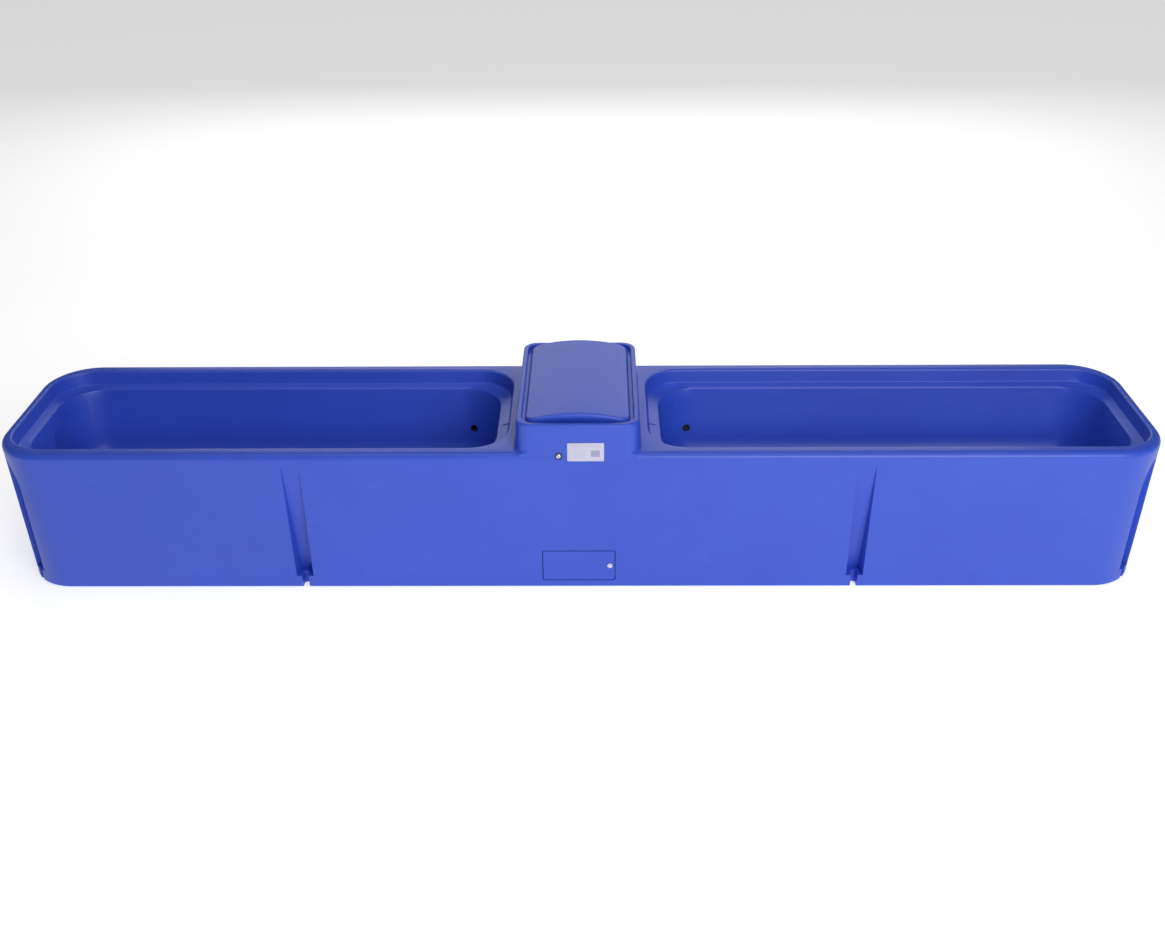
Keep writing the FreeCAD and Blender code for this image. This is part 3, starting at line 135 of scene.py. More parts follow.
def mesh_piece(name, grids, material, body):
    """One object from grids of shape (rows, columns, 3), welded, facing outwards, on a body."""
    points = []
    faces = []
    start = 0
    for grid in grids:
        rows, columns, _ = grid.shape
        points.append(grid.reshape(-1, 3))
        faces.append(grid_faces(rows, columns, True) + start)
        start += rows * columns
    points = np.concatenate(points)
    faces = np.concatenate(faces)
    mesh = bpy.data.meshes.new(name)
    mesh.from_pydata(points.tolist(), [], faces.tolist())
    work = bmesh.new()
    work.from_mesh(mesh)
    bmesh.ops.remove_doubles(work, verts=work.verts, dist=WELD)
    bmesh.ops.dissolve_degenerate(work, edges=work.edges, dist=WELD)
    bmesh.ops.recalc_face_normals(work, faces=work.faces)
    work.to_mesh(mesh)
    work.free()
    mesh.polygons.foreach_set("use_smooth", [True] * len(mesh.polygons))
    mesh.materials.append(material)
    piece = bpy.data.objects.new(name, mesh)
    bpy.context.scene.collection.objects.link(piece)
    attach(piece, body)
    print(name, len(mesh.vertices), "points")
    return piece


# %% [markdown]
# ## Shared effects
# Several finishes need the same things: a slow drift of tone, a skin copied from the mould,
# and marks of handling. Each is built once as a node group with named sockets and placed in
# every material with its own values. A group hands out only a colour, a mask or a height,
# so the shader itself stays in the material.

# %% Group tools


def new_group(name, inputs, outputs):
    """Empty shader group; inputs are (name, type, value) and outputs are (name, type)."""
    group = bpy.data.node_groups.new(name, "ShaderNodeTree")
    for label, kind, value in inputs:
        socket = group.interface.new_socket(name=label, in_out="INPUT", socket_type=kind)
        if value is not None:
            socket.default_value = value
    for label, kind in outputs:
        group.interface.new_socket(name=label, in_out="OUTPUT", socket_type=kind)
    entry = group.nodes.new("NodeGroupInput")
    leave = group.nodes.new("NodeGroupOutput")
    return group, entry, leave


def add_node(tree, kind, links=(), **settings):
    """Add a node, set its named properties or sockets, and link (from_socket, to_name) pairs."""
    made = tree.nodes.new(kind)
    for label, value in settings.items():
        if hasattr(made, label):
            setattr(made, label, value)
        else:
            made.inputs[label.replace("_", " ")].default_value = value
    for source, target in links:
        tree.links.new(source, made.inputs[target])
    return made


def add_noise(tree, vector, scale, detail, roughness=0.5):
    """Noise over vector whose scale comes from a socket."""
    noise = add_node(tree, "ShaderNodeTexNoise", [(vector, "Vector"), (scale, "Scale")])
    noise.inputs["Detail"].default_value = detail
    noise.inputs["Roughness"].default_value = roughness
    return noise.outputs["Fac"]


def add_math(tree, operation, first, second):
    """Math node on two sockets; returns its result."""
    made = add_node(tree, "ShaderNodeMath", operation=operation)
    tree.links.new(first, made.inputs[0])
    tree.links.new(second, made.inputs[1])
    return made.outputs[0]


# %% Tone drift
def make_tone_drift():
    """Colour that wanders: Color mixed towards Shade by amount x noise, over one cloud of several octaves.
    """
    group, entry, leave = new_group(
        "tone_drift",
        [
            ("Vector", "NodeSocketVector", None),
            ("Color", "NodeSocketColor", (0.5, 0.5, 0.5, 1.0)),
            ("Shade", "NodeSocketColor", (0.4, 0.4, 0.4, 1.0)),
            ("Scale", "NodeSocketFloat", 3.0),
            ("Amount", "NodeSocketFloat", 0.5),
        ],
        [("Color", "NodeSocketColor")],
    )
    cloud = add_noise(group, entry.outputs["Vector"], entry.outputs["Scale"], 5.0, 0.62)
    spread = add_node(group, "ShaderNodeMapRange", [(cloud, "Value")], From_Min=0.35, From_Max=0.68)
    share = add_math(group, "MULTIPLY", spread.outputs["Result"], entry.outputs["Amount"])
    mix = add_node(group, "ShaderNodeMix", data_type="RGBA")
    group.links.new(share, mix.inputs[0])
    group.links.new(entry.outputs["Color"], mix.inputs[6])
    group.links.new(entry.outputs["Shade"], mix.inputs[7])
    group.links.new(mix.outputs[2], leave.inputs["Color"])
    return group


tone_drift = make_tone_drift()
print("group", tone_drift.name)


# %% Moulded skin
def make_moulded_skin():
    """Height of a moulded skin: fine orange peel plus a slow waviness of the wall."""
    group, entry, leave = new_group(
        "moulded_skin",
        [
            ("Vector", "NodeSocketVector", None),
            ("Peel Scale", "NodeSocketFloat", 260.0),
            ("Peel", "NodeSocketFloat", 0.12),
            ("Wave Scale", "NodeSocketFloat", 6.0),
            ("Wave", "NodeSocketFloat", 1.0),
        ],
        [("Height", "NodeSocketFloat")],
    )
    heights = []
    for scale, amount, detail in (("Peel Scale", "Peel", 2.0), ("Wave Scale", "Wave", 1.0)):
        noise = add_noise(group, entry.outputs["Vector"], entry.outputs[scale], detail)
        heights.append(add_math(group, "MULTIPLY", noise, entry.outputs[amount]))
    group.links.new(add_math(group, "ADD", *heights), leave.inputs["Height"])
    return group


moulded_skin = make_moulded_skin()
print("group", moulded_skin.name)


# %% Handling marks
def make_handling_marks():
    """Mask of thin marks: noise stretched along one way and kept only where it is high."""
    group, entry, leave = new_group(
        "handling_marks",
        [
            ("Vector", "NodeSocketVector", None),
            ("Stretch", "NodeSocketVector", (1.0, 1.0, 1.0)),
            ("Scale", "NodeSocketFloat", 20.0),
            ("Cover", "NodeSocketFloat", 0.62),
        ],
        [("Mask", "NodeSocketFloat")],
    )
    pull = add_node(group, "ShaderNodeVectorMath", operation="MULTIPLY")
    group.links.new(entry.outputs["Vector"], pull.inputs[0])
    group.links.new(entry.outputs["Stretch"], pull.inputs[1])
    noise = add_noise(group, pull.outputs[0], entry.outputs["Scale"], 6.0, 0.7)
    high = add_node(group, "ShaderNodeMapRange", [(noise, "Value")], From_Max=0.86)
    group.links.new(entry.outputs["Cover"], high.inputs["From Min"])
    group.links.new(high.outputs["Result"], leave.inputs["Mask"])
    return group


handling_marks = make_handling_marks()
print("group", handling_marks.name)

# %% [markdown]
# ## Finishes
# Every finish has the same skeleton, so one function builds it: the tone group feeds the
# base colour, a marks group roughens the surface a little, and the skin group feeds a bump.
# What sets the finishes apart is their values. Moulded polyethylene is satin, with a fine
# orange peel of a few millimetres and a slow waviness that only shows in its highlights.

# %% Finish builder


def placed(tree, group, vector, **values):
    """A shared group in this material, fed with the coordinates and its own values."""
    node = tree.nodes.new("ShaderNodeGroup")
    node.node_tree = group
    tree.links.new(vector, node.inputs["Vector"])
    for label, value in values.items():
        node.inputs[label.replace("_", " ")].default_value = value
    return node


def finish(
    name,
    color,
    shade,
    rough,
    metallic=0.0,
    drift=3.0,
    marks=(20.0, 0.62),
    stretch=(1, 1, 1),
    rough_marks=0.15,
    mark_color=None,
    peel=(260.0, 0.12),
    wave=(6.0, 1.0),
    bump=0.0012,
):
    """Principled finish whose tone drifts, whose marks change its roughness, and whose skin has relief.

    marks are (scale, cover), mark_color ends in its strength, and peel and wave are (scale, height)."""
    material = bpy.data.materials.new(name)
    material.use_nodes = True
    tree = material.node_tree
    shader = tree.nodes["Principled BSDF"]
    where = tree.nodes.new("ShaderNodeTexCoord").outputs["Object"]
    tone = placed(tree, tone_drift, where, Color=(*color, 1), Shade=(*shade, 1), Scale=drift, Amount=0.6)
    mask = placed(tree, handling_marks, where, Stretch=stretch, Scale=marks[0], Cover=marks[1])
    mask = mask.outputs["Mask"]
    last = tone.outputs["Color"]
    if mark_color:
        share = add_node(tree, "ShaderNodeMath", operation="MULTIPLY")
        tree.links.new(mask, share.inputs[0])
        share.inputs[1].default_value = mark_color[3]
        mix = add_node(tree, "ShaderNodeMix", data_type="RGBA")
        tree.links.new(share.outputs[0], mix.inputs[0])
        tree.links.new(last, mix.inputs[6])
        mix.inputs[7].default_value = (*mark_color[:3], 1)
        last = mix.outputs[2]
    tree.links.new(last, shader.inputs["Base Color"])
    gloss = add_node(tree, "ShaderNodeMapRange", [(mask, "Value")], To_Min=rough)
    gloss.inputs["To Max"].default_value = rough + rough_marks
    tree.links.new(gloss.outputs["Result"], shader.inputs["Roughness"])
    skin = placed(tree, moulded_skin, where, Peel_Scale=peel[0], Peel=peel[1])
    skin.inputs["Wave Scale"].default_value = wave[0]
    skin.inputs["Wave"].default_value = wave[1]
    relief = add_node(tree, "ShaderNodeBump", [(skin.outputs["Height"], "Height")], Distance=bump)
    relief.inputs["Strength"].default_value = 1.0
    tree.links.new(relief.outputs["Normal"], shader.inputs["Normal"])
    shader.inputs["Metallic"].default_value = metallic
    print("finish", name)
    return material


# %% Finishes by slot
BLUE = (0.030, 0.082, 0.560)
BLUE_SHADE = (0.024, 0.066, 0.490)
finishes = {
    "polyethylene": finish(
        "blue polyethylene", BLUE, BLUE_SHADE, 0.40, drift=2.2,
        marks=(9.0, 0.58), stretch=(1, 1, 2.5), rough_marks=0.14, mark_color=(0.10, 0.17, 0.66, 0.22),
    ),
    "foam": finish(
        "poured foam", (0.80, 0.66, 0.36), (0.66, 0.50, 0.24), 0.85, drift=18.0,
        peel=(420.0, 1.0), wave=(30.0, 2.0),
    ),
    "liner": finish(
        "white liner sheet", (0.74, 0.75, 0.77), (0.66, 0.67, 0.70), 0.45, drift=6.0,
        bump=0.0006,
    ),
    "plate": finish(
        "anodised plate", (0.56, 0.56, 0.68), (0.48, 0.48, 0.61), 0.36, metallic=0.55, drift=20.0,
        marks=(60.0, 0.5), stretch=(1, 12, 12),
        peel=(900.0, 0.2), wave=(40.0, 0.3), bump=0.0002,
    ),
    "steel": finish(
        "brushed stainless steel", (0.60, 0.61, 0.63), (0.50, 0.51, 0.53), 0.28,
        metallic=1.0, drift=30.0,
        marks=(70.0, 0.45), stretch=(1, 14, 14), rough_marks=0.25,
        peel=(1400.0, 0.2), wave=(60.0, 0.1), bump=0.0001,
    ),
    "rubber": finish(
        "black rubber", (0.018, 0.018, 0.019), (0.035, 0.035, 0.036), 0.62, drift=25.0,
        mark_color=(0.12, 0.12, 0.12, 0.25),
        peel=(900.0, 0.4), wave=(50.0, 0.3), bump=0.0003,
    ),
    "brass": finish(
        "cast brass", (0.66, 0.45, 0.16), (0.46, 0.29, 0.10), 0.30, metallic=1.0, drift=35.0,
        marks=(60.0, 0.5), mark_color=(0.30, 0.20, 0.10, 0.5),
        peel=(1200.0, 0.4), wave=(70.0, 0.3), bump=0.0002,
    ),
    "black_plastic": finish(
        "black moulded plastic", (0.016, 0.016, 0.018), (0.030, 0.030, 0.033), 0.38, drift=20.0,
        peel=(1100.0, 0.5), wave=(40.0, 0.2), bump=0.0003,
    ),
    "grip": finish(
        "red dipped grip", (0.50, 0.025, 0.018), (0.38, 0.018, 0.014), 0.42, drift=40.0,
        peel=(500.0, 0.3), wave=(90.0, 0.5), bump=0.0004,
    ),
}


# %% [markdown]
# ## Braided hose
# The supply hose wears a braid of fine wire. Two sets of slanted waves that cross each
# other make a woven height, and the same waves paint shade into the gaps between the wires:
# the colour turns near black where the woven height is low.

# %% Braid finish
def make_braid():
    """Crossing waves along x + z and x - z; the higher one at each point is the wire on top."""
    material = bpy.data.materials.new("braided hose")
    material.use_nodes = True
    tree = material.node_tree
    shader = tree.nodes["Principled BSDF"]
    where = tree.nodes.new("ShaderNodeTexCoord").outputs["Object"]
    waves = []
    for turn in (0.9, -0.9):
        lay = add_node(tree, "ShaderNodeMapping", [(where, "Vector")])
        lay.inputs["Rotation"].default_value = (0.35, turn, 0.0)
        wave = add_node(tree, "ShaderNodeTexWave", [(lay.outputs["Vector"], "Vector")], Distortion=0.4)
        wave.inputs["Scale"].default_value = 150.0
        waves.append(wave.outputs["Fac"])
    top = add_math(tree, "MAXIMUM", *waves)
    # painted shade: near black where the woven height is low between the wires, light grey on top of them
    painted_gap_shade = add_node(tree, "ShaderNodeMix", data_type="RGBA")
    tree.links.new(top, painted_gap_shade.inputs[0])
    painted_gap_shade.inputs[6].default_value = (0.05, 0.05, 0.055, 1)
    painted_gap_shade.inputs[7].default_value = (0.52, 0.53, 0.55, 1)
    tree.links.new(painted_gap_shade.outputs[2], shader.inputs["Base Color"])
    relief = add_node(tree, "ShaderNodeBump", [(top, "Height")], Strength=0.8, Distance=0.0006)
    tree.links.new(relief.outputs["Normal"], shader.inputs["Normal"])
    shader.inputs["Metallic"].default_value = 0.85
    shader.inputs["Roughness"].default_value = 0.38
    return material


finishes["hose"] = make_braid()

# %% [markdown]
# ## Dress the CAD pieces
# The record lists each piece with its material slot, so one loop gives every CAD piece its
# finish. Pieces that are remade below are replaced later and need no special care here.

# %% Finish every CAD piece
slot_of = {row["node"]: row["material_slot"] for row in frame["record"]["subparts"]}
body_of_node = {}
for body, names in frame["record"]["behaviour"]["bodies"].items():
    for name in names:
        body_of_node[name] = body
for name, obj in nodes.items():
    for holder in obj.material_slots:
        holder.material = finishes[slot_of[name]]
print("dressed", len(nodes), "pieces in", len(finishes), "finishes")

# %% [markdown]
# ## Softened edges
# No real edge is perfectly sharp: a mould rounds it, a file or a tumbler breaks it, and that
# thin rounding is what catches the light. A copy of a CAD mesh is welded, its flat faces are
# joined again, and a Bevel modifier rounds every edge that turns by more than about thirty
# degrees. Edges that lie in the casing's parting plane stay sharp, so that it still meets its
# floor skin flush.

# %% Soften a copy
SHARP = math.radians(28)
FLAT = math.radians(0.5)
CAD_WELD = 2e-6
BEVEL_STEPS = 2


def softened(node, width, keep_plane=None):
    """Copy of a CAD piece with rounded edges; edges in the plane z = keep_plane stay sharp."""
    work = bmesh.new()
    work.from_mesh(nodes[node].data)
    bmesh.ops.remove_doubles(work, verts=work.verts, dist=CAD_WELD)
    bmesh.ops.dissolve_limit(work, angle_limit=FLAT, verts=work.verts, edges=work.edges)
    mesh = bpy.data.meshes.new(node + "_soft")
    angles = np.array([edge.calc_face_angle(0.0) for edge in work.edges])
    heights = np.array([max(vert.co.z for vert in edge.verts) for edge in work.edges])
    weights = (angles > SHARP).astype(np.float32)
    if keep_plane is not None:
        weights[heights < keep_plane + 1e-5] = 0.0
    work.to_mesh(mesh)
    work.free()
    mesh.attributes.new("bevel_weight_edge", "FLOAT", "EDGE").data.foreach_set("value", weights)
    mesh.polygons.foreach_set("use_smooth", [True] * len(mesh.polygons))
    mesh.attributes.new("sharp_edge", "BOOLEAN", "EDGE").data.foreach_set("value", angles > SHARP)
    mesh.materials.clear()
    mesh.materials.append(finishes[slot_of[node]])
    piece = bpy.data.objects.new(node + "_soft", mesh)
    bpy.context.scene.collection.objects.link(piece)
    bevel = piece.modifiers.new("edge rounding", "BEVEL")
    bevel.width = width
    bevel.segments = BEVEL_STEPS
    bevel.limit_method = "WEIGHT"
    bevel.harden_normals = True
    bevel.miter_outer = "MITER_ARC"
    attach(piece, body_of_node[node])
    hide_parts(node)
    print(piece.name, len(mesh.vertices), "points,", int(weights.sum()), "edges rounded")


# %% Casing and small parts
CASING_EDGE = 0.0015
EDGE_WIDTHS = {
    "access_panel": 0.0014,
    "panel_screw": 0.0003,
    "lid_liner": 0.0012,
    "valve_bracket": 0.0005,
    "valve_body": 0.0005,
    "valve_nut": 0.0005,
    "bracket_nut": 0.0004,
    "bulkhead_nut": 0.0006,
    "supply_bulkhead": 0.0005,
    "shutoff_lever": 0.0006,
    "lever_grip": 0.0012,
    "shutoff_body": 0.0007,
    "heater_plug": 0.0006,
    "heater_nut": 0.0006,
    "terminal_box": 0.0010,
    "terminal_cover": 0.0008,
    "cable_gland": 0.0005,
    "drain_plug_left": 0.0008,
    "drain_plug_right": 0.0008,
    "drain_bushing_left": 0.0010,
    "drain_bushing_right": 0.0010,
    "port_plug_left": 0.0008,
    "port_plug_right": 0.0008,
}
softened("casing", CASING_EDGE, keep_plane=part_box("casing")[0][2])
for name, width in EDGE_WIDTHS.items():
    softened(name, width)

# %% [markdown]
# ## Rounded outlines
# The lid, the nameplate and their trims are all stacks of rounded rectangles. An outline is
# four quarter circles, and the straight runs are simply the gaps between them. Stacked
# outlines with their own inset and height make a dish, a plate or a dome.

# %% Outline helper


def rounded_outlines(half_x, half_y, radius, insets, steps=9, between=0):
    """Rings inside a rounded rectangle. Ring k is the rectangle moved in by insets[k], and its
    corners are quarter circles of radius - inset, or of nothing once the inset is larger.
    Each straight run carries some evenly spaced points, a + (b - a) t, so that it can arch."""
    inset = np.asarray(insets)[:, None]
    angle = (np.arange(4)[:, None] * 90.0 + np.linspace(0.0, 90.0, steps)[None, :]).reshape(-1)
    sign_x = np.repeat([1.0, -1.0, -1.0, 1.0], steps)[None, :]
    sign_y = np.repeat([1.0, 1.0, -1.0, -1.0], steps)[None, :]
    turn = np.radians(angle)[None, :]
    corner = np.maximum(radius - inset, 0.0)
    reach_x = np.maximum(half_x - inset, 0.0)
    reach_y = np.maximum(half_y - inset, 0.0)
    x = sign_x * np.maximum(reach_x - corner, 0.0) + np.minimum(corner, reach_x) * np.cos(turn)
    y = sign_y * np.maximum(reach_y - corner, 0.0) + np.minimum(corner, reach_y) * np.sin(turn)
    share = np.linspace(0.0, 1.0, between + 2)[1:-1]
    rings = []
    for part in (x, y):
        part = part.reshape(len(inset), 4, steps)
        begin = part[:, :, -1:]
        end = np.roll(part, -1, axis=1)[:, :, :1]
        run = begin + (end - begin) * share
        rings.append(np.concatenate([part, run], axis=2).reshape(len(inset), -1))
    return rings


# %% [markdown]
# ## Lid
# The lid is a shallow vault: a slice of a long cylinder laid from front to back, with a
# small radius all round its edge. A box with a bevel would have a flat top, so the grid
# works out the vault's height at every point. The inside repeats the outside one skin
# thickness lower, and both meet at the bottom rim.

# %% Make the lid
LID_EDGE_R = 0.0075
LID_INNER_EDGE_R = 0.0045
LID_SKIN = 0.005
LID_CORNER_R = 0.036
LID_EDGE_IN = 6.0 / 42.0 * 0.006
LID_VAULT = 0.024


def make_lid():
    """Rings: height = crown - (R - sqrt(R^2 - x^2)) over the top, less r (1 - sin a) round the edge."""
    low, high = (np.array(v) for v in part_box("lid_shell"))
    half_x, half_y = (high - low)[:2] / 2
    middle = (high + low) / 2
    big = (half_x ** 2 + LID_VAULT ** 2) / (2 * LID_VAULT)

    def side(skin, radius):
        turn = np.radians(np.linspace(0.0, 90.0, 8))
        base = LID_EDGE_IN + skin
        inset = np.concatenate([[skin], base + radius * (1 - np.cos(turn))])
        drop = np.concatenate([[0.0], skin + radius * (1 - np.sin(turn))])
        inner = np.linspace(inset[-1], half_x, 26)[1:]
        inset = np.concatenate([inset, inner])
        drop = np.concatenate([drop, np.full(len(inner), skin)])
        x, y = rounded_outlines(half_x, half_y, LID_CORNER_R, inset, steps=12, between=18)
        crown = high[2] - (big - np.sqrt(big ** 2 - x ** 2))
        z = crown - drop[:, None]
        z[0] = low[2]
        return np.stack([x + middle[0], y + middle[1], z], axis=-1)

    outer = side(0.0, LID_EDGE_R)
    inner = side(LID_SKIN, LID_INNER_EDGE_R)
    grid = np.concatenate([inner[::-1], outer])
    piece = mesh_piece("lid_dome", [grid], finishes["polyethylene"], "lid")
    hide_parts("lid_shell")


make_lid()

# %% [markdown]
# ## Faces that lean
# The nameplate sits on the housing's front, which leans back as it rises. A point on such a
# face is origin + u across + v up the face + w out of it, so shapes are drawn flat and
# carried there by one function.

# %% Place on a leaning face


def on_face(u, v, w, origin, slope):
    """Points u across, v up and w out of a face that moves back by slope for each unit of rise."""
    size = math.hypot(1.0, slope)
    up = np.array([0.0, slope, 1.0]) / size
    out = np.array([0.0, -1.0, slope]) / size
    across = np.array([1.0, 0.0, 0.0])
    return np.array(origin) + u[..., None] * across + v[..., None] * up + w[..., None] * out


HOUSING_SLOPE = 0.0446
PLATE_T = 0.0012
plate_low, plate_high = (np.array(v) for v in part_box("nameplate"))
plate_middle = (plate_low + plate_high) / 2
plate_half_x = (plate_high[0] - plate_low[0]) / 2
plate_half_z = (plate_high[2] - plate_low[2]) / 2 * math.hypot(1.0, HOUSING_SLOPE)
plate_half_z -= PLATE_T * HOUSING_SLOPE / 2
print("nameplate", round(2 * plate_half_x, 4), "by", round(2 * plate_half_z, 4))

# %% [markdown]
# ## Nameplate
# A thin anodised sheet, held by four rivets. Its face has a coined border, and a row of
# dots, ruled lines and a plain box stand where a maker would stamp details. Nothing on it
# is lettering.

# %% Make the nameplate
PLATE_CORNER_R = 0.003
PLATE_EDGE_R = 0.0003
BORDER_RISE = 0.00035


def flat_plate(half_u, half_v, radius, back, front, soft, at_u=0.0, at_v=0.0, steps=5):
    """Closed plate: back face, side, a soft front edge of radius soft, and the front face."""
    turn = np.radians(np.linspace(0.0, 90.0, 4))
    centre = min(half_u, half_v)
    inset = np.concatenate([[centre, 0.0], soft * (1 - np.cos(turn)), [centre]])
    level = np.concatenate([[back, back], front - soft * (1 - np.sin(turn)), [front]])
    u, v = rounded_outlines(half_u, half_v, radius, inset, steps)
    w = np.repeat(level[:, None], u.shape[1], axis=1)
    return on_face(u + at_u, v + at_v, w, plate_middle, HOUSING_SLOPE)


def make_nameplate():
    """Sheet with a raised border, whose section is a low ridge with sloping sides."""
    face = PLATE_T / 2
    grids = [flat_plate(plate_half_x, plate_half_z, PLATE_CORNER_R, -face, face, PLATE_EDGE_R)]
    inset = np.array([0.0022, 0.0022, 0.0025, 0.0031, 0.0034, 0.0034])
    level = face + np.array([-0.0002, 0.0001, BORDER_RISE, BORDER_RISE, 0.0001, -0.0002])
    u, v = rounded_outlines(plate_half_x, plate_half_z, PLATE_CORNER_R, inset, 5)
    w = np.repeat(level[:, None], u.shape[1], axis=1)
    border = on_face(u, v, w, plate_middle, HOUSING_SLOPE)
    grids.append(np.concatenate([border, border[:1]]))
    piece = mesh_piece("nameplate_sheet", grids, finishes["plate"], "tub")
    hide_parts("nameplate")


make_nameplate()

# %% Marks on the nameplate
MARK_RISE = 0.0002
MARK_SUNK = 0.0003
MARK_EDGE_R = 0.0001
DOT_R = 0.0013
DOT_STEP = 0.008
DOTS = 11
LINE_HALF = 0.024
LINE_STEP = 0.008
LINE_SHORTER = 0.004
LINES = 4


def make_plate_marks():
    """Enamel marks: a row of dots, then ruled lines, every other one shorter, beside a box."""
    back = PLATE_T / 2 - MARK_SUNK
    front = PLATE_T / 2 + MARK_RISE

    def mark(half_u, half_v, radius, at_u, at_v, steps=4):
        return flat_plate(half_u, half_v, radius, back, front, MARK_EDGE_R, at_u, at_v, steps)

    grids = []
    for step in range(DOTS):
        grids.append(mark(DOT_R, DOT_R, DOT_R, DOT_STEP * (step - DOTS // 2), 0.019))
    for row in range(LINES):
        cut = LINE_SHORTER * (row % 2)
        grids.append(mark(LINE_HALF - cut, 0.0005, 0.0005, -0.014 - cut, 0.007 - LINE_STEP * row))
    grids.append(mark(0.014, 0.011, 0.001, 0.030, -0.005, steps=5))
    ink = finish("violet grey enamel", (0.33, 0.34, 0.50), (0.27, 0.28, 0.43), 0.42, drift=40.0, bump=0.0001)
    piece = mesh_piece("nameplate_marks", grids, ink, "tub")


make_plate_marks()

# %% [markdown]
# ## Turned parts
# Rivets, bolt heads, washers, rings and the float are all turned shapes: a profile of radius
# and height carried round an axis. One function does that for any axis direction, and
# profiles that start and end on the axis close themselves.

# %% Turn a profile


def turned(profile, origin, axis, columns):
    """Grid: point = origin + axis x height + (side cos a + other sin a) x radius."""
    axis = np.array(axis, dtype=float)
    axis /= np.linalg.norm(axis)
    guide = np.array([1.0, 0.0, 0.0]) if abs(axis[0]) < 0.9 else np.array([0.0, 1.0, 0.0])
    side = np.cross(axis, guide)
    side /= np.linalg.norm(side)
    other = np.cross(axis, side)
    profile = np.array(profile, dtype=float)
    angle = np.linspace(0.0, 2 * np.pi, columns, endpoint=False)
    around = np.cos(angle)[:, None] * side + np.sin(angle)[:, None] * other
    radius, height = profile[:, 0, None, None], profile[:, 1, None, None]
    return np.array(origin) + height * axis + radius * around[None, :, :]


def dome(radius, height, start, steps=7):
    """Profile of a low dome from its rim to the axis: radius cos a, height sin a."""
    turn = np.linspace(0.0, np.pi / 2, steps)
    return [(radius * math.cos(a), start + height * math.sin(a)) for a in turn]


# %% Rivets
OUTWARD = (0.0, -1.0, HOUSING_SLOPE)
RIVET_IN = 0.005
RIVET_R = 0.0031
RIVET_SHANK_R = 0.0015
RIVET_SHANK = 0.006


def make_rivets():
    """Four domed heads on thin shanks, one near each corner of the plate."""
    profile = [(0.0, -RIVET_SHANK), (RIVET_SHANK_R, -RIVET_SHANK)]
    profile += [(RIVET_SHANK_R, 0.0), (RIVET_R, 0.0)]
    profile += dome(RIVET_R, 0.0011, 0.0002)
    grids = []
    for su in (-1, 1):
        for sv in (-1, 1):
            u = np.array(su * (plate_half_x - RIVET_IN))
            v = np.array(sv * (plate_half_z - RIVET_IN))
            at = on_face(u, v, np.array(PLATE_T / 2), plate_middle, HOUSING_SLOPE)
            grids.append(turned(profile, at, OUTWARD, 20))
    piece = mesh_piece("rivet_heads", grids, finishes["plate"], "tub")
    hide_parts("nameplate_rivets")


make_rivets()

# %% Bracket bolt and its washer
TOWARDS_FRONT = (0, -1, 0)
BOLT_R = 0.004
BOLT_HEAD_R = 0.0078
BOLT_HEAD = 0.004
SOCKET_R = 0.0026
SOCKET_FLOOR = 0.0012
CLEAR_R = 0.00405
WASHER_R = 0.0106
WASHER_BULGE = 0.0009


def make_bolt():
    """Button head with a round socket, and the long shank that carries the bracket."""
    low, high = (np.array(v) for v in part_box("bracket_bolt"))
    middle = (low + high) / 2
    seat = low[1] + BOLT_HEAD
    end = seat - high[1]
    at = (middle[0], seat, middle[2])
    profile = [(0.0, end), (BOLT_R, end), (BOLT_R, 0.0), (BOLT_HEAD_R, 0.0)]
    profile += [p for p in dome(BOLT_HEAD_R, 0.0034, 0.0004, 10) if p[0] > SOCKET_R + 0.001]
    profile += [(SOCKET_R, 0.0034), (SOCKET_R, SOCKET_FLOOR), (0.0, SOCKET_FLOOR)]
    grid = turned(profile, at, TOWARDS_FRONT, 48)
    piece = mesh_piece("bolt_button", [grid], finishes["steel"], "tub")
    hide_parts("bracket_bolt")


make_bolt()


def make_washer():
    """Rubber ring squeezed to a soft bulge between the bolt head and the wall."""
    low, high = (np.array(v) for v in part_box("bolt_washer"))
    middle = (low + high) / 2
    thick = high[1] - low[1]
    turn = np.linspace(-np.pi / 2, np.pi / 2, 9)
    rim = [(WASHER_R + WASHER_BULGE * math.cos(a), thick / 2 + thick / 2 * math.sin(a)) for a in turn]
    profile = [(CLEAR_R, 0.0)] + rim + [(CLEAR_R, thick), (CLEAR_R, 0.0)]
    at = (middle[0], high[1], middle[2])
    grid = turned(profile, at, TOWARDS_FRONT, 40)
    piece = mesh_piece("bolt_seal", [grid], finishes["rubber"], "tub")
    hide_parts("bolt_washer")


make_washer()

# %% [markdown]
# ## Float
# The float is blow moulded in two halves, so a low bead runs round its middle where the
# mould parts. The real float also flattens a little where the nuts clamp it, which the grid
# leaves out. Its axis is the float arm, which droops while the drinker is empty.

# %% Make the float
ARM_DROOP = math.radians(25.8)
BEAD_RISE = 0.0008
BEAD_SPREAD = 0.03


def make_float():
    """Sphere profile round the arm: radius R cos a plus a bead exp(-(a / w)^2) at the middle."""
    low, high = (np.array(v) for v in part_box("float_ball"))
    middle = (low + high) / 2
    radius = (high[0] - low[0]) / 2
    end = math.acos(CLEAR_R / radius)
    half = np.linspace(0.12, end, 22)
    turn = np.concatenate([-half[::-1], np.linspace(-0.1, 0.1, 15), half])
    bead = BEAD_RISE * np.exp(-(turn / BEAD_SPREAD) ** 2)
    across = (radius - BEAD_RISE + bead) * np.cos(turn)
    along = (radius - 0.0001) * np.sin(turn)
    profile = np.stack([np.maximum(across, CLEAR_R), along], axis=1)
    profile = np.concatenate([profile, profile[:1]])
    arm = (0.0, math.cos(ARM_DROOP), -math.sin(ARM_DROOP))
    grid = turned(profile, middle, arm, 64)
    piece = mesh_piece("float_bulb", [grid], finishes["black_plastic"], "float")
    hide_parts("float_ball")


make_float()

# %% [markdown]
# ## Pull rings
# Each drain plug lifts out by a split ring, which is a bar bent round: a circle carried
# round a circle.

# %% Make the rings


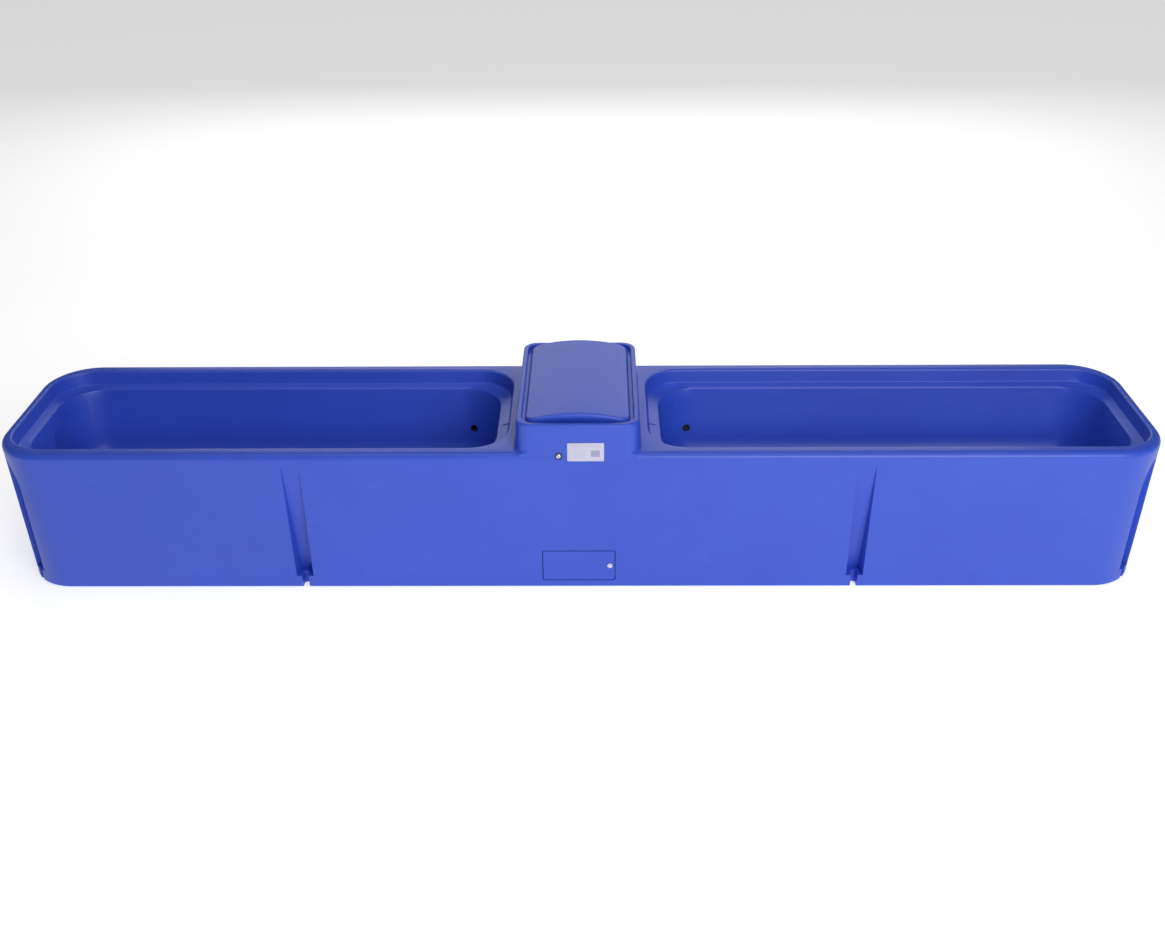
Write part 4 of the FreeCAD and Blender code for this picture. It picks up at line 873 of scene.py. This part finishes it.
def make_pull_ring(side):
    """Torus: distance from the axis = R + r cos b, offset along it = r sin b."""
    node = "plug_ring_" + side
    low, high = (np.array(v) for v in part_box(node))
    middle = (low + high) / 2
    bar = (high[1] - low[1]) / 2
    big = (high[0] - low[0]) / 2 - bar
    around = np.linspace(0.0, 2 * np.pi, 17)
    profile = np.stack([big + bar * np.cos(around), bar * np.sin(around)], axis=1)
    grid = turned(profile, middle, (0, 1, 0), 48)
    piece = mesh_piece("pull_ring_" + side, [grid], finishes["steel"], "plug_" + side)
    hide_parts(node)


for side in ("left", "right"):
    make_pull_ring(side)

# %% [markdown]
# ## Floor and light
# The setting is a plain pale floor under soft studio light. Large area lights have soft
# shadows: the main one stands in front and to the right, one hangs overhead, and a low wide
# one behind puts a pale sheen on the flat rims.

# %% Floor
FLOOR_HALF = 40.0
FLOOR_DROP = 0.0002
FLOOR_GLOW = 0.55


def make_floor():
    """Flat square grid at the height of the drinker's feet."""
    line = np.linspace(-FLOOR_HALF, FLOOR_HALF, 9)
    x, y = np.meshgrid(line, line)
    grid = np.stack([x, y, np.full_like(x, cad_box[0][2] - FLOOR_DROP)], axis=-1)
    faces = grid_faces(len(line), len(line), False)
    mesh = bpy.data.meshes.new("floor")
    mesh.from_pydata(grid.reshape(-1, 3).tolist(), [], faces.tolist())
    pale = finish("pale floor", (0.90, 0.90, 0.91), (0.88, 0.88, 0.89), 0.7, drift=1.5, bump=0.0001)
    glow = pale.node_tree.nodes["Principled BSDF"]
    glow.inputs["Emission Color"].default_value = (1.0, 1.0, 1.0, 1.0)
    glow.inputs["Emission Strength"].default_value = FLOOR_GLOW
    mesh.materials.append(pale)
    floor = bpy.data.objects.new("floor", mesh)
    bpy.context.scene.collection.objects.link(floor)


make_floor()

# %% Lights


def soft_light(name, place, target, size_x, size_y, power):
    """Rectangular area light at place that faces target."""
    data = bpy.data.lights.new(name, "AREA")
    data.shape = "RECTANGLE"
    data.size = size_x
    data.size_y = size_y
    data.energy = power
    lamp = bpy.data.objects.new(name, data)
    lamp.location = place
    lamp.rotation_euler = (Vector(target) - Vector(place)).to_track_quat("-Z", "Y").to_euler()
    bpy.context.scene.collection.objects.link(lamp)
    print(name, power, "W")


soft_light("front light", (2.2, -5.2, 3.4), (0.2, 0.0, 0.3), 4.0, 2.4, 235.0)
soft_light("top light", (0.0, -0.6, 4.6), (0.0, 0.0, 0.4), 5.0, 2.5, 60.0)
soft_light("back light", (0.0, 5.5, 2.6), (0.0, 0.0, 0.5), 7.0, 2.0, 90.0)

world = bpy.data.worlds.new("studio")
world.use_nodes = True
world.node_tree.nodes["Background"].inputs["Color"].default_value = (1.0, 1.0, 1.0, 1.0)
world.node_tree.nodes["Background"].inputs["Strength"].default_value = 0.12
bpy.context.scene.world = world
bpy.context.scene.view_settings.view_transform = "Standard"
